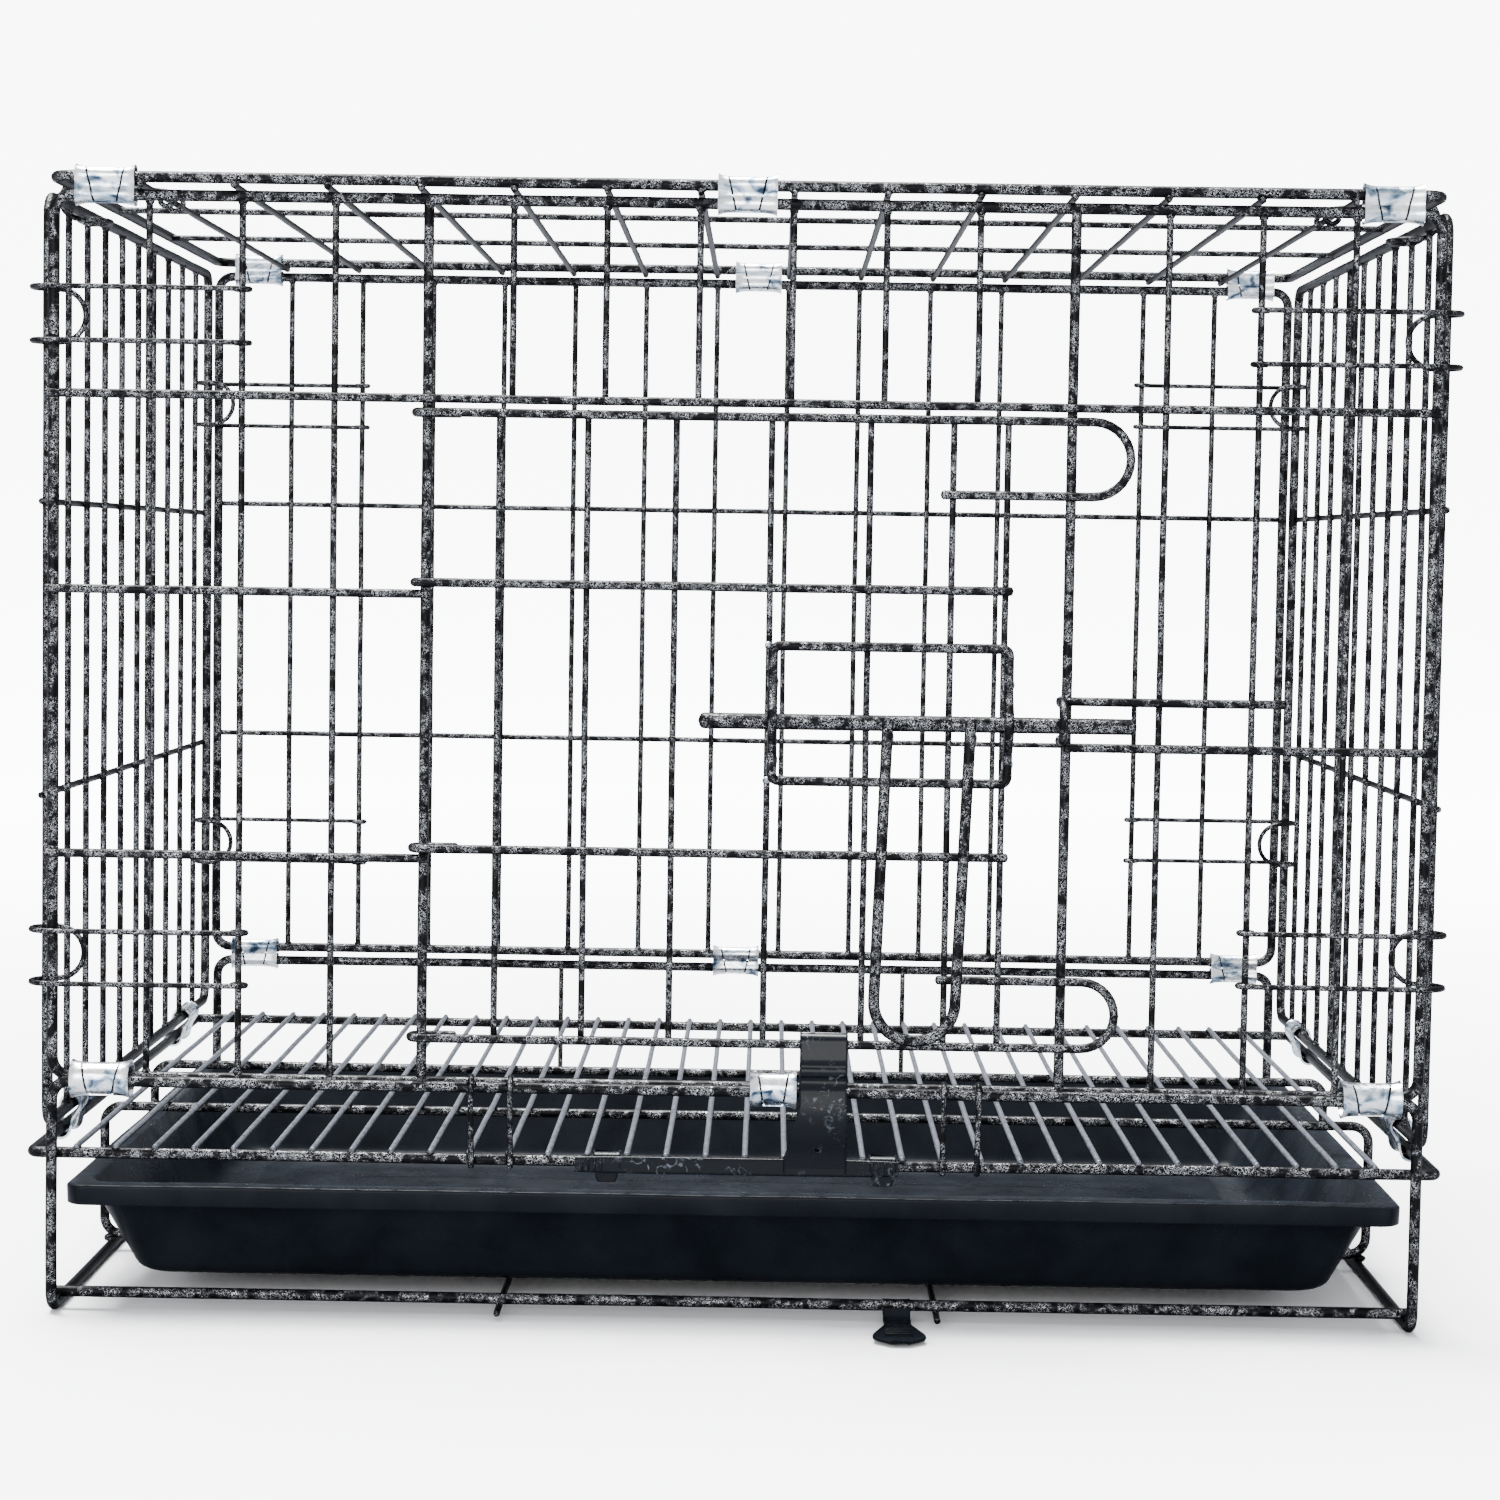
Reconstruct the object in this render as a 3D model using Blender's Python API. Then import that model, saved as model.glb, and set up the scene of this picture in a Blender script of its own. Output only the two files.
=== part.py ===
"""A folding wire dog crate with a slide-out tray, in metres, +Z up, front towards -Y.

Wires are mitred tubes swept along a route. Wires that are welded to each other inside one panel overlap and are
joined by a Boolean union; separate pieces keep a small gap. Each moving piece has its origin on its joint's axis.
While it is being built, Y = 0 is the plane of the front legs; centre_on_footprint() then moves the origin to the
middle of the footprint.
"""

import math

import bmesh
import bpy
from mathutils import Matrix, Vector

# ---------------------------------------------------------------- wire sizes
FRAME_R = 0.0025  # frames, legs and the pull handle
POST_R = 0.00225  # doorway posts
SUPPORT_R = 0.00225  # rectangles that carry the grate
BAR_R = 0.0020  # horizontal bars of the front panel and the door
ROD_R = 0.0015  # thin rods of every panel
GRATE_R = 0.0013  # thin wires of the floor grate
RUNNER_R = 0.0014
HANGER_R = 0.00135
HOOK_R = 0.00125
GUIDE_R = 0.00215
EYE_R = 0.0019
BOLT_R = 0.0035

CORNER = 1.06  # a polygonal wire's corners stand this much outside its true radius
WELD = 0.8  # centres of welded wires are this share of their radii apart
GAP = 0.0003  # between separate pieces

# ---------------------------------------------------------------- overall sizes
DEPTH = 0.420  # front legs to back legs
LEG_X = 0.2965
PANEL_X = 0.2975  # uprights of the front and back panels
SIDE_X = 0.3020  # side panels, and the line they fold about
ROOF_X = 0.2980
GRATE_X = 0.3065  # side bars of the grate, which pass outside the legs
BASE_TOP_Z = 0.1025
GRATE_Z = 0.0700
SIDE_BOTTOM_Z = 0.0810
PANEL_BOTTOM_Z = 0.1037
BACK_BOTTOM_Z = 0.1100
PANEL_TOP_Z = 0.4850
BEND = 0.0080  # bend radius at the corners of every frame


def beside(*radii):
    """Centre distance at which two separate wires pass each other."""
    return CORNER * sum(radii) + GAP


def welded(*radii):
    """Centre distance of two wires that are welded where they cross."""
    return WELD * sum(radii)


def flat(radius, sides):
    """Distance from a polygonal wire's centre to its flats."""
    return CORNER * radius * math.cos(math.pi / sides)


# ---------------------------------------------------------------- planes that follow from the sizes
PANEL_Y = beside(FRAME_R, FRAME_R)
BACK_Y = DEPTH
CURL = beside(POST_R, BAR_R)  # the door's bars curl round the post at this radius
DOOR_Y = PANEL_Y - CURL
DOOR_ROD_Y = DOOR_Y + welded(BAR_R, ROD_R)
HOOK_LEG = beside(FRAME_R, HOOK_R)  # a hook's legs lie this far outside a frame
HOOK_CURL = beside(ROD_R, HOOK_R)
SIDE_FRONT_Y = PANEL_Y + CURL + CORNER * (BAR_R + FRAME_R) + 2 * GAP
RAIL_Z = flat(FRAME_R, 8)
FRONT_BAR_Y = BEND + FRAME_R
FRONT_BAR_Z = RAIL_Z + flat(FRAME_R, 8) + flat(FRAME_R, 6) + GAP
RUNNER_Z = FRONT_BAR_Z - flat(FRAME_R, 6) - GAP - CORNER * RUNNER_R
STRUT_Y = BACK_Y - beside(FRAME_R, RUNNER_R)
GRATE_FRONT_Y = PANEL_Y
GRATE_BACK_Y = STRUT_Y - beside(FRAME_R, RUNNER_R)
SIDE_BACK_Y = GRATE_BACK_Y - GAP
SIDE_PITCH = (SIDE_BACK_Y - SIDE_FRONT_Y) / 10
GRATE_WIRE_Z = GRATE_Z + welded(FRAME_R, GRATE_R)
SUPPORT_TOP_Z = GRATE_WIRE_Z - beside(SUPPORT_R, GRATE_R)
SUPPORT_BOTTOM_Z = RAIL_Z + flat(FRAME_R, 8) + CORNER * SUPPORT_R + GAP
ROOF_ROD_Z = PANEL_TOP_Z + beside(FRAME_R, ROD_R)
ROOF_Z = ROOF_ROD_Z + welded(FRAME_R, ROD_R)

# ---------------------------------------------------------------- layout of the panels
ROD_PITCH = 0.040
BACK_ROD_PITCH = 0.0395
HINGE_POST_X = -0.1365  # the doorway post that the door hangs on
LATCH_POST_X = 0.1410
FRONT_RODS = {-1: (0.1765, 0.2165, 0.2565), 1: (0.1810, 0.2210, 0.2610)}  # left and right of the doorway
LINTEL_Z = 0.4000  # the front panel's full-width bar, above the doorway
LEFT_BAR_HEIGHTS = (0.3160, 0.2015)
RIGHT_SHORT_BAR_Z = 0.2740
RIGHT_SHORT_BAR_END = 0.2345
RIGHT_BAR_Z = 0.2540
MID_BAR_HEIGHTS = {"left": (0.3535, 0.2255), "right": (0.3590, 0.2290), "back": (0.3590, 0.2305)}
ROOF_BAR_DEPTHS = (0.139, 0.272)
GRATE_WIRES = 34
GRATE_PITCH = 0.01715
GRATE_MIDDLE_X = -0.0035  # the thin wires are set slightly to the left
SUPPORT_X = 0.3000
SUPPORT_DEPTHS = (0.130, 0.255)
RUNNERS = {"left": -0.102, "right": 0.090}
HANGERS = (-0.114, -0.097, 0.091, 0.106)

# ---------------------------------------------------------------- door, bolt and latches
DOOR_BOTTOM_Z = 0.1235
DOOR_TOP_Z = 0.3940
DOOR_MID_HEIGHTS = (0.3210, 0.2060)
DOOR_MID_END = 0.1155
DOOR_TOP_LOOP = (0.1500, -0.0160, 0.0860)  # where the bend starts, its radius and way, where the wire ends
DOOR_BOTTOM_LOOP = (0.1495, 0.0145, 0.0875)
DOOR_RODS = (-0.1050, -0.0670, -0.0290, 0.0120, 0.0545, 0.0902, 0.1135)
CURL_TAIL = 0.0135
BOLT_Z = 0.2636
BOLT_X = (-0.0155, 0.1684)
BOLT_Y = DOOR_ROD_Y - beside(ROD_R, BOLT_R)
GUIDE_X = (0.0140, 0.1155)
GUIDE_HEIGHTS = (0.2380, 0.2962)
GUIDE_BUMP_RISE = 0.013  # half the height of the part that is pressed out over the bolt
GUIDE_BUMP_CREST = 0.004
GUIDE_Y = DOOR_ROD_Y - beside(ROD_R, GUIDE_R)
GUIDE_BUMP_Y = BOLT_Y - beside(BOLT_R, GUIDE_R)
EYE_X = 0.1385
EYE_CENTRE_Z = 0.2655
EYE_BEND = 0.0085
HANDLE_TOP_X = (0.0635, 0.0990)
HANDLE_BOTTOM_X = (0.0590, 0.0940)
HANDLE_HEIGHT = 0.1363
HANDLE_BEND = 0.0165
HOOK_HALF = 0.0115  # half the distance between a hook's legs
HOOK_HEIGHTS = {  # the hooks slide on their rods, so no two stand at quite the same height
    "front_left": {"upper": 0.4340, "lower": 0.1560},
    "front_right": {"upper": 0.4315, "lower": 0.1630},
    "back_left": {"upper": 0.4140, "lower": 0.1700},
    "back_right": {"upper": 0.4210, "lower": 0.1780},
}
ROOF_HOOK_BAY = 1.5  # counted in side rods from the front
CLIP_LENGTH = 0.0255
MIDDLE_BASE_CLIP_LENGTH = 0.0200
CLIP_WALL = 0.0010
STRAP_X = 0.0386
STRAP_WALL = 0.0022
LATCH_BAR_X = 0.0016
LATCH_BAR_LENGTH = 0.1408
LATCH_BAR_HEIGHTS = (GRATE_Z - 0.0045, GRATE_Z + 0.0030)
SNAP_GAPS = (-3, 4)  # the gaps between grate wires that hold the snap rings
SNAP_LENGTH = 0.0120
STOP_X = 0.0725
STOP_WALL = 0.0016

# ---------------------------------------------------------------- tray
TRAY_X = 0.2922
TRAY_FRONT_Y = 0.0040
TRAY_BACK_Y = 0.3400
TRAY_BOTTOM_Z = 0.0110
TRAY_LIP_Z = 0.0470  # lower edge of the rim's turned-down lip
TRAY_TOP_Z = 0.0565
TRAY_RIM = 0.0085
TRAY_TAPER = 0.0175
TRAY_FLOOR_BEND = 0.0075
TRAY_WALL = 0.0018
TRAY_CORNER = 0.0080  # at the rim
TRAY_CORNER_GROWTH = 0.15  # the corner radius grows by this share of the inset


# ---------------------------------------------------------------- routes
def arc(centre, start, axis, angle, steps):
    """Corner points of the tangent polygon outside an arc that begins at start and turns about axis."""
    centre = Vector(centre)
    arm = Vector(start) - centre
    step = angle / steps
    stretch = 1 / math.cos(step / 2)
    turns = [Matrix.Rotation((k + 0.5) * step, 3, Vector(axis)) for k in range(steps)]
    return [centre + turn @ arm * stretch for turn in turns]


def bent(points, radius, steps=2, closed=False):
    """A route through points with each corner bent to the radius."""
    points = [Vector(p) for p in points]
    route = []
    for i, point in enumerate(points):
        if not closed and i in (0, len(points) - 1):
            route.append(point)
            continue
        before = (point - points[i - 1]).normalized()
        after = (points[(i + 1) % len(points)] - point).normalized()
        turn = before.angle(after)
        if turn < 0.01:
            route.append(point)
            continue
        centre = point + (after - before).normalized() * radius / math.cos(turn / 2)
        start = point - before * radius * math.tan(turn / 2)
        route += arc(centre, start, before.cross(after), turn, steps)
    return route


# ---------------------------------------------------------------- solids
def add_tube(bm, points, radius, sides=6, face=(0, 0, 1), closed=False):
    """A tube mitred at each point. On its first run one of its flats faces the given way."""
    points = [Vector(p) for p in points]
    ends = zip(points, points[1:] + points[:1])
    runs = [(b - a).normalized() for a, b in ends]
    if not closed:
        runs[-1] = runs[-2]
    face = Vector(face) if abs(Vector(face).dot(runs[0])) < 0.9 else Vector((0, 1, 0))
    across = (face - face.dot(runs[0]) * runs[0]).normalized()
    other = runs[0].cross(across)
    step = 2 * math.pi / sides
    angles = [(k + 0.5) * step for k in range(sides)]
    spokes = [CORNER * radius * (math.cos(a) * across + math.sin(a) * other) for a in angles]
    rings = []
    for i, point in enumerate(points):
        before = runs[i - 1] if closed or i else runs[0]
        mitre = (before + runs[i]).normalized()
        along = before if i else runs[0]
        cut = [s - along * (s.dot(mitre) / along.dot(mitre)) for s in spokes]
        rings.append([bm.verts.new(point + c) for c in cut])
        spokes = [c - runs[i] * c.dot(runs[i]) for c in cut]
    for first, second in zip(rings, rings[1:]):
        skin(bm, first, second)
    if closed:
        start = [v.co for v in rings[0]]
        mitre = (runs[-1] + runs[0]).normalized()
        landed = [points[0] + s - runs[-1] * (s.dot(mitre) / runs[-1].dot(mitre)) for s in spokes]
        shift = min(range(sides), key=lambda k: (landed[0] - start[k]).length)
        skin(bm, rings[-1], rings[0][shift:] + rings[0][:shift])
    else:
        bm.faces.new(rings[0])
        bm.faces.new(rings[-1])


def skin(bm, first, second):
    """Faces between two rings with the same number of corners."""
    for k in range(len(first)):
        n = (k + 1) % len(first)
        bm.faces.new((first[k], first[n], second[n], second[k]))


def add_strip(bm, centre, points, widths, wall, axis=(1, 0, 0)):
    """A bent strip: points run along its middle, in the plane across axis, and widths are measured along axis."""
    axis = Vector(axis)
    points = [Vector(p) for p in points]
    rings = []
    for i, point in enumerate(points):
        before = (point - points[max(i - 1, 0)]).normalized()
        after = (points[min(i + 1, len(points) - 1)] - point).normalized()
        before = before if before.length else after
        after = after if after.length else before
        mitre = (before + after).normalized()
        side = axis.cross(mitre) * (wall / 2 / max(mitre.dot(after), 0.5))
        half = axis * (widths[i] / 2)
        middle = Vector(centre) + point
        corners = (middle + side + half, middle + side - half, middle - side - half, middle - side + half)
        rings.append([bm.verts.new(c) for c in corners])
    for first, second in zip(rings, rings[1:]):
        skin(bm, first, second)
    bm.faces.new(rings[0])
    bm.faces.new(rings[-1])


def material(name, colour, metallic, roughness):
    made = bpy.data.materials.new(name)
    made.use_nodes = True
    shader = made.node_tree.nodes["Principled BSDF"]
    shader.inputs["Base Color"].default_value = (*colour, 1)
    shader.inputs["Metallic"].default_value = metallic
    shader.inputs["Roughness"].default_value = roughness
    return made


def place(name, bm, finish, pivot=(0, 0, 0)):
    """The bmesh as a named object whose origin is the pivot."""
    bmesh.ops.recalc_face_normals(bm, faces=bm.faces)
    bm.transform(Matrix.Translation(-Vector(pivot)))
    mesh = bpy.data.meshes.new(name)
    bm.to_mesh(mesh)
    bm.free()
    mesh.materials.append(finish)
    mesh.shade_smooth()
    mesh.set_sharp_from_angle(angle=math.radians(40))
    made = bpy.data.objects.new(name, mesh)
    made.location = pivot
    bpy.context.scene.collection.objects.link(made)
    return made


def weld(name, layers, finish, pivot=(0, 0, 0)):
    """One solid from layers that cross each other, each layer a bmesh of pieces that don't touch."""
    base, *others = [place(name if not k else f"{name}_layer", bm, finish, pivot) for k, bm in enumerate(layers)]
    for other in others:
        union = base.modifiers.new("union", "BOOLEAN")
        union.operation = "UNION"
        union.solver = "EXACT"
        union.object = other
    graph = bpy.context.evaluated_depsgraph_get()
    joined = bpy.data.meshes.new_from_object(base.evaluated_get(graph))
    base.modifiers.clear()
    base.data = joined
    for other in others:
        bpy.data.objects.remove(other)
    base.name = name
    return base


def wire(name, points, radius, finish, pivot=(0, 0, 0), **options):
    bm = bmesh.new()
    add_tube(bm, points, radius, **options)
    return place(name, bm, finish, pivot)


def rods(routes, radius, **options):
    """A layer of straight or bent wires that don't touch each other."""
    bm = bmesh.new()
    for route in routes:
        add_tube(bm, route, radius, **options)
    return bm


def merge(*layers):
    """Several layers whose pieces don't touch, as one."""
    whole = bmesh.new()
    for layer in layers:
        copy = bpy.data.meshes.new("copy")
        layer.to_mesh(copy)
        whole.from_mesh(copy)
        layer.free()
        bpy.data.meshes.remove(copy)
    return whole


# ---------------------------------------------------------------- base
def base_frame(coat):
    """One closed wire: front bar, legs, side rails, back legs and back bar."""
    top, low = BASE_TOP_Z, RAIL_Z
    corners = [
        (-LEG_X, 0, top),
        (LEG_X, 0, top),
        (LEG_X, 0, low),
        (LEG_X, BACK_Y, low),
        (LEG_X, BACK_Y, top),
        (-LEG_X, BACK_Y, top),
        (-LEG_X, BACK_Y, low),
        (-LEG_X, 0, low),
    ]
    wire("base_frame", bent(corners, BEND, 2, closed=True), FRAME_R, coat, sides=8, closed=True)


def base_wires(coat):
    end = LEG_X + FRAME_R
    middle = FRONT_BAR_Z
    bar = [(-end, FRONT_BAR_Y, middle), (end, FRONT_BAR_Y, middle)]
    wire("front_bottom_bar", bar, FRAME_R, coat)
    for side, x in RUNNERS.items():
        route = [(x, -FRAME_R / 2, RUNNER_Z), (x, STRUT_Y, RUNNER_Z), (x, STRUT_Y, BASE_TOP_Z + RUNNER_R)]
        wire(f"tray_runner_{side}", bent(route, BEND), RUNNER_R, coat, sides=4)
    for place_name, y in zip(("front", "rear"), SUPPORT_DEPTHS):
        corners = [
            (-SUPPORT_X, y, SUPPORT_BOTTOM_Z),
            (SUPPORT_X, y, SUPPORT_BOTTOM_Z),
            (SUPPORT_X, y, SUPPORT_TOP_Z),
            (-SUPPORT_X, y, SUPPORT_TOP_Z),
        ]
        wire(f"grate_support_{place_name}", bent(corners, BEND, closed=True), SUPPORT_R, coat, closed=True)
    for k, x in enumerate(HANGERS):
        off = beside(FRAME_R, HANGER_R)
        over = arc((x, 0, BASE_TOP_Z), (x, 0, BASE_TOP_Z + off), (1, 0, 0), math.pi / 2, 2)
        route = [(x, 0, BASE_TOP_Z + off), *over, (x, -off, BASE_TOP_Z - 0.004)]
        foot = GRATE_FRONT_Y - off
        route += [(x, foot, GRATE_Z + 0.004), (x, foot, GRATE_Z - FRAME_R)]
        wire(f"grate_hanger_{k + 1}", route, HANGER_R, coat, sides=4, face=(1, 0, 0))


def floor_grate(coat):
    corners = [
        (-GRATE_X, GRATE_FRONT_Y, GRATE_Z),
        (GRATE_X, GRATE_FRONT_Y, GRATE_Z),
        (GRATE_X, GRATE_BACK_Y, GRATE_Z),
        (-GRATE_X, GRATE_BACK_Y, GRATE_Z),
    ]
    frame = rods([bent(corners, BEND / 2, closed=True)], FRAME_R, closed=True)
    first = GRATE_MIDDLE_X - GRATE_PITCH * (GRATE_WIRES - 1) / 2
    places = [first + GRATE_PITCH * k for k in range(GRATE_WIRES)]
    overhang = FRAME_R / 2
    ends = (GRATE_FRONT_Y - overhang, GRATE_BACK_Y + overhang)
    wires = rods([[(x, y, GRATE_WIRE_Z) for y in ends] for x in places], GRATE_R, sides=4)
    weld("floor_grate", [frame, wires], coat)


# ---------------------------------------------------------------- panels
def upright_frame(y, low, high):
    """The rounded rectangle of the front or back panel."""
    corners = [(-PANEL_X, y, low), (PANEL_X, y, low), (PANEL_X, y, high), (-PANEL_X, y, high)]
    return rods([bent(corners, BEND, closed=True)], FRAME_R, closed=True)


def front_panel(coat):
    frame = upright_frame(PANEL_Y, PANEL_BOTTOM_Z, PANEL_TOP_Z)
    tall = [(side * x, PANEL_BOTTOM_Z) for side, row in FRONT_RODS.items() for x in row]
    short = [(side * x * ROD_PITCH, LINTEL_Z) for x in (0.5, 1.5, 2.5) for side in (-1, 1)]
    thin = rods([[(x, PANEL_Y, z), (x, PANEL_Y, PANEL_TOP_Z)] for x, z in tall + short], ROD_R, sides=4)
    ends = (PANEL_BOTTOM_Z, PANEL_TOP_Z)
    routes = [[(x, PANEL_Y, z) for z in ends] for x in (HINGE_POST_X, LATCH_POST_X)]
    posts = rods(routes, POST_R, face=(0, 1, 0))
    bar_y = PANEL_Y - welded(BAR_R, ROD_R)
    edge = PANEL_X + FRAME_R
    bars = [(-edge, edge, LINTEL_Z)]
    bars += [(-edge, HINGE_POST_X + POST_R / 2, z) for z in LEFT_BAR_HEIGHTS]
    start = EYE_X + beside(EYE_R)
    bars += [(start, RIGHT_SHORT_BAR_END, RIGHT_SHORT_BAR_Z), (start, edge, RIGHT_BAR_Z)]
    across = rods([[(a, bar_y, z), (b, bar_y, z)] for a, b, z in bars], BAR_R, sides=4)
    weld("front_panel", [frame, merge(thin, posts), across], coat)


def even_rods(pitch):
    """Fourteen places across the width, on either side of the middle."""
    return [side * pitch * (k + 0.5) for k in range(7) for side in (-1, 1)]


def back_panel(coat):
    frame = upright_frame(BACK_Y, BACK_BOTTOM_Z, PANEL_TOP_Z)
    ends = (BACK_BOTTOM_Z, PANEL_TOP_Z)
    thin = rods([[(x, BACK_Y, z) for z in ends] for x in even_rods(BACK_ROD_PITCH)], ROD_R, sides=4)
    bar_y = BACK_Y + welded(ROD_R, ROD_R)
    edge = PANEL_X + FRAME_R / 2
    across = rods([[(-edge, bar_y, z), (edge, bar_y, z)] for z in MID_BAR_HEIGHTS["back"]], ROD_R, sides=4)
    weld("back_panel", [frame, thin, across], coat)


def roof_panel(coat):
    corners = [
        (-ROOF_X, PANEL_Y, ROOF_Z),
        (ROOF_X, PANEL_Y, ROOF_Z),
        (ROOF_X, BACK_Y, ROOF_Z),
        (-ROOF_X, BACK_Y, ROOF_Z),
    ]
    frame = rods([bent(corners, BEND, closed=True)], FRAME_R, closed=True)
    ends = (PANEL_Y - FRAME_R - ROD_R, BACK_Y + FRAME_R + ROD_R)
    thin = rods([[(x, y, ROOF_ROD_Z) for y in ends] for x in even_rods(ROD_PITCH)], ROD_R, sides=4)
    bar_z = ROOF_ROD_Z + welded(ROD_R, ROD_R)
    across = rods([[(-ROOF_X, y, bar_z), (ROOF_X, y, bar_z)] for y in ROOF_BAR_DEPTHS], ROD_R, sides=4)
    weld("roof_panel", [frame, thin, across], coat)


def side_panel(side, sign, coat):
    x = sign * SIDE_X
    low, high = SIDE_BOTTOM_Z, PANEL_TOP_Z
    near, far = SIDE_FRONT_Y, SIDE_BACK_Y
    corners = [(x, near, low), (x, far, low), (x, far, high), (x, near, high)]
    frame = rods([bent(corners, BEND, closed=True)], FRAME_R, face=(1, 0, 0), closed=True)
    places = [near + SIDE_PITCH * k for k in range(1, 10)]
    thin = rods([[(x, y, low), (x, y, high)] for y in places], ROD_R, sides=4)
    bar_x = x + sign * welded(ROD_R, ROD_R)
    ends = (near - FRAME_R, far + FRAME_R)
    along = rods([[(bar_x, y, z) for y in ends] for z in MID_BAR_HEIGHTS[side]], ROD_R, sides=4)
    weld(f"{side}_side_panel", [frame, thin, along], coat, pivot=(x, (near + far) / 2, low))


# ---------------------------------------------------------------- hooks and clips
def hook_route(rod, leg, lip, turn_at):
    """Half a hook in its own (out, in) plane: a curl round the rod, a leg, and a turn round both frames."""
    rod = Vector(rod)
    start = rod - Vector((0, HOOK_CURL, 0))
    curl = arc(rod, start, (0, 0, -1), math.radians(240), 3)
    end = rod + Matrix.Rotation(math.radians(-240), 3, "Z") @ (start - rod)
    middle = (lip - leg) / 2
    round_frames = arc((turn_at, middle, 0), (turn_at, -leg, 0), (0, 0, 1), math.pi, 3)
    return [end, *reversed(curl), Vector((turn_at, -leg, 0)), *round_frames]


def hook(name, origin, out, inward, rod, lip, edge, coat):
    """A hairpin whose legs lie outside a panel and whose bend lies inside the next one.

    Lengths are from origin: the rod's centre in the (out, in) plane, the panel's edge along out, and the lip along
    inward.
    """
    out, inward = Vector(out), Vector(inward)
    bend_r = (lip + HOOK_LEG) / 2
    turn_at = max(edge, SIDE_X) + HOOK_LEG - math.sqrt(bend_r**2 - ((lip - HOOK_LEG) / 2) ** 2)
    across = Vector((0, 1, 0)) if inward.z else Vector((0, 0, 1))
    half = hook_route(rod, HOOK_LEG, lip, turn_at)
    bend = arc((turn_at, lip, 0), (turn_at, lip, HOOK_HALF), (0, -1, 0), math.pi, 4)
    upper = [Vector((p.x, p.y, HOOK_HALF)) for p in half]
    lower = [Vector((p.x, p.y, -HOOK_HALF)) for p in reversed(half)]
    local = upper + [Vector((p.x, p.y, p.z)) for p in bend] + lower
    route = [Vector(origin) + out * p.x + inward * p.y + across * p.z for p in local]
    wire(name, route, HOOK_R, coat, sides=4, face=tuple(across))


def hooks(coat):
    rows = {
        "front": (PANEL_Y, 1, SIDE_FRONT_Y - PANEL_Y),
        "back": (BACK_Y, -1, BACK_Y - SIDE_BACK_Y),
    }
    for row, (y, inward, to_side) in rows.items():
        for side, sign in (("left", -1), ("right", 1)):
            x = FRONT_RODS[sign][1] if row == "front" else 5.5 * BACK_ROD_PITCH
            for level, z in HOOK_HEIGHTS[f"{row}_{side}"].items():
                lip = to_side + HOOK_LEG + GAP
                name = f"hook_{row}_{side}_{level}"
                hook(name, (0, y, z), (sign, 0, 0), (0, inward, 0), (x, 0, 0), lip, PANEL_X, coat)
    origin = (0, SIDE_FRONT_Y + ROOF_HOOK_BAY * SIDE_PITCH, ROOF_Z)
    lip = ROOF_Z - PANEL_TOP_Z + HOOK_LEG + 2 * GAP
    rod = (6.5 * ROD_PITCH, ROOF_Z - ROOF_ROD_Z, 0)
    for side, sign in (("left", -1), ("right", 1)):
        hook(f"hook_roof_{side}", origin, (sign, 0, 0), (0, 0, -1), rod, lip, ROOF_X, coat)


def clip(name, first, second, middle, axis, zinc, length=CLIP_LENGTH, slack=0):
    """A rolled strip round two wires, open at a seam. first and second are the centres of its two bends."""
    axis = Vector(axis)
    first, second = Vector(first), Vector(second)
    along = (second - first).normalized()
    out = axis.cross(along)
    radius = CORNER * FRAME_R + GAP + CLIP_WALL / 2 + slack
    seam = along * min(0.0004, (second - first).length / 3)
    halfway = (first + second) / 2
    route = [halfway - seam + out * radius]
    route += arc(first, first + out * radius, axis, math.pi, 4)
    route += arc(second, second - out * radius, axis, math.pi, 4)
    route.append(halfway + seam + out * radius)
    bm = bmesh.new()
    add_strip(bm, axis * middle, route, [length] * len(route), CLIP_WALL, axis)
    place(name, bm, zinc)


def clips(zinc):
    left, right = -0.2752, 0.2762  # between the outermost rod and the corner's bend
    across = (1, 0, 0)
    rows = {
        "roof_front": ((0, PANEL_Y, PANEL_TOP_Z), (0, PANEL_Y, ROOF_Z), 0.0),
        "roof_back": ((0, BACK_Y, PANEL_TOP_Z), (0, BACK_Y, ROOF_Z), 0.003),
        "base_back": ((0, BACK_Y, BASE_TOP_Z), (0, BACK_Y, BACK_BOTTOM_Z), -0.004),
    }
    for row, (first, second, middle) in rows.items():
        for side, x in (("left", left), ("middle", middle), ("right", right)):
            clip(f"clip_{row}_{side}", first, second, x, across, zinc)
    base, panel = Vector((0, 0, BASE_TOP_Z)), Vector((0, PANEL_Y, PANEL_BOTTOM_Z))
    half_seam = Vector((0, 0, 0.0004))
    halfway = (base + panel) / 2
    slack = (panel - base).length / 2
    for side, x, length in (
        ("left", left, CLIP_LENGTH),
        ("middle", 0.0170, MIDDLE_BASE_CLIP_LENGTH),
        ("right", right, CLIP_LENGTH),
    ):
        ends = (halfway - half_seam, halfway + half_seam)
        clip(f"clip_base_front_{side}", *ends, x, across, zinc, length, slack)
    for side, sign in (("left", -1), ("right", 1)):
        grate = (sign * GRATE_X, 0, GRATE_Z)
        panel = (sign * SIDE_X, 0, SIDE_BOTTOM_Z)
        for end, bay in (("front", 1.5), ("rear", 8.5)):
            y = SIDE_FRONT_Y + bay * SIDE_PITCH
            clip(f"clip_side_{side}_{end}", grate, panel, y, (0, 1, 0), zinc)


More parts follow.
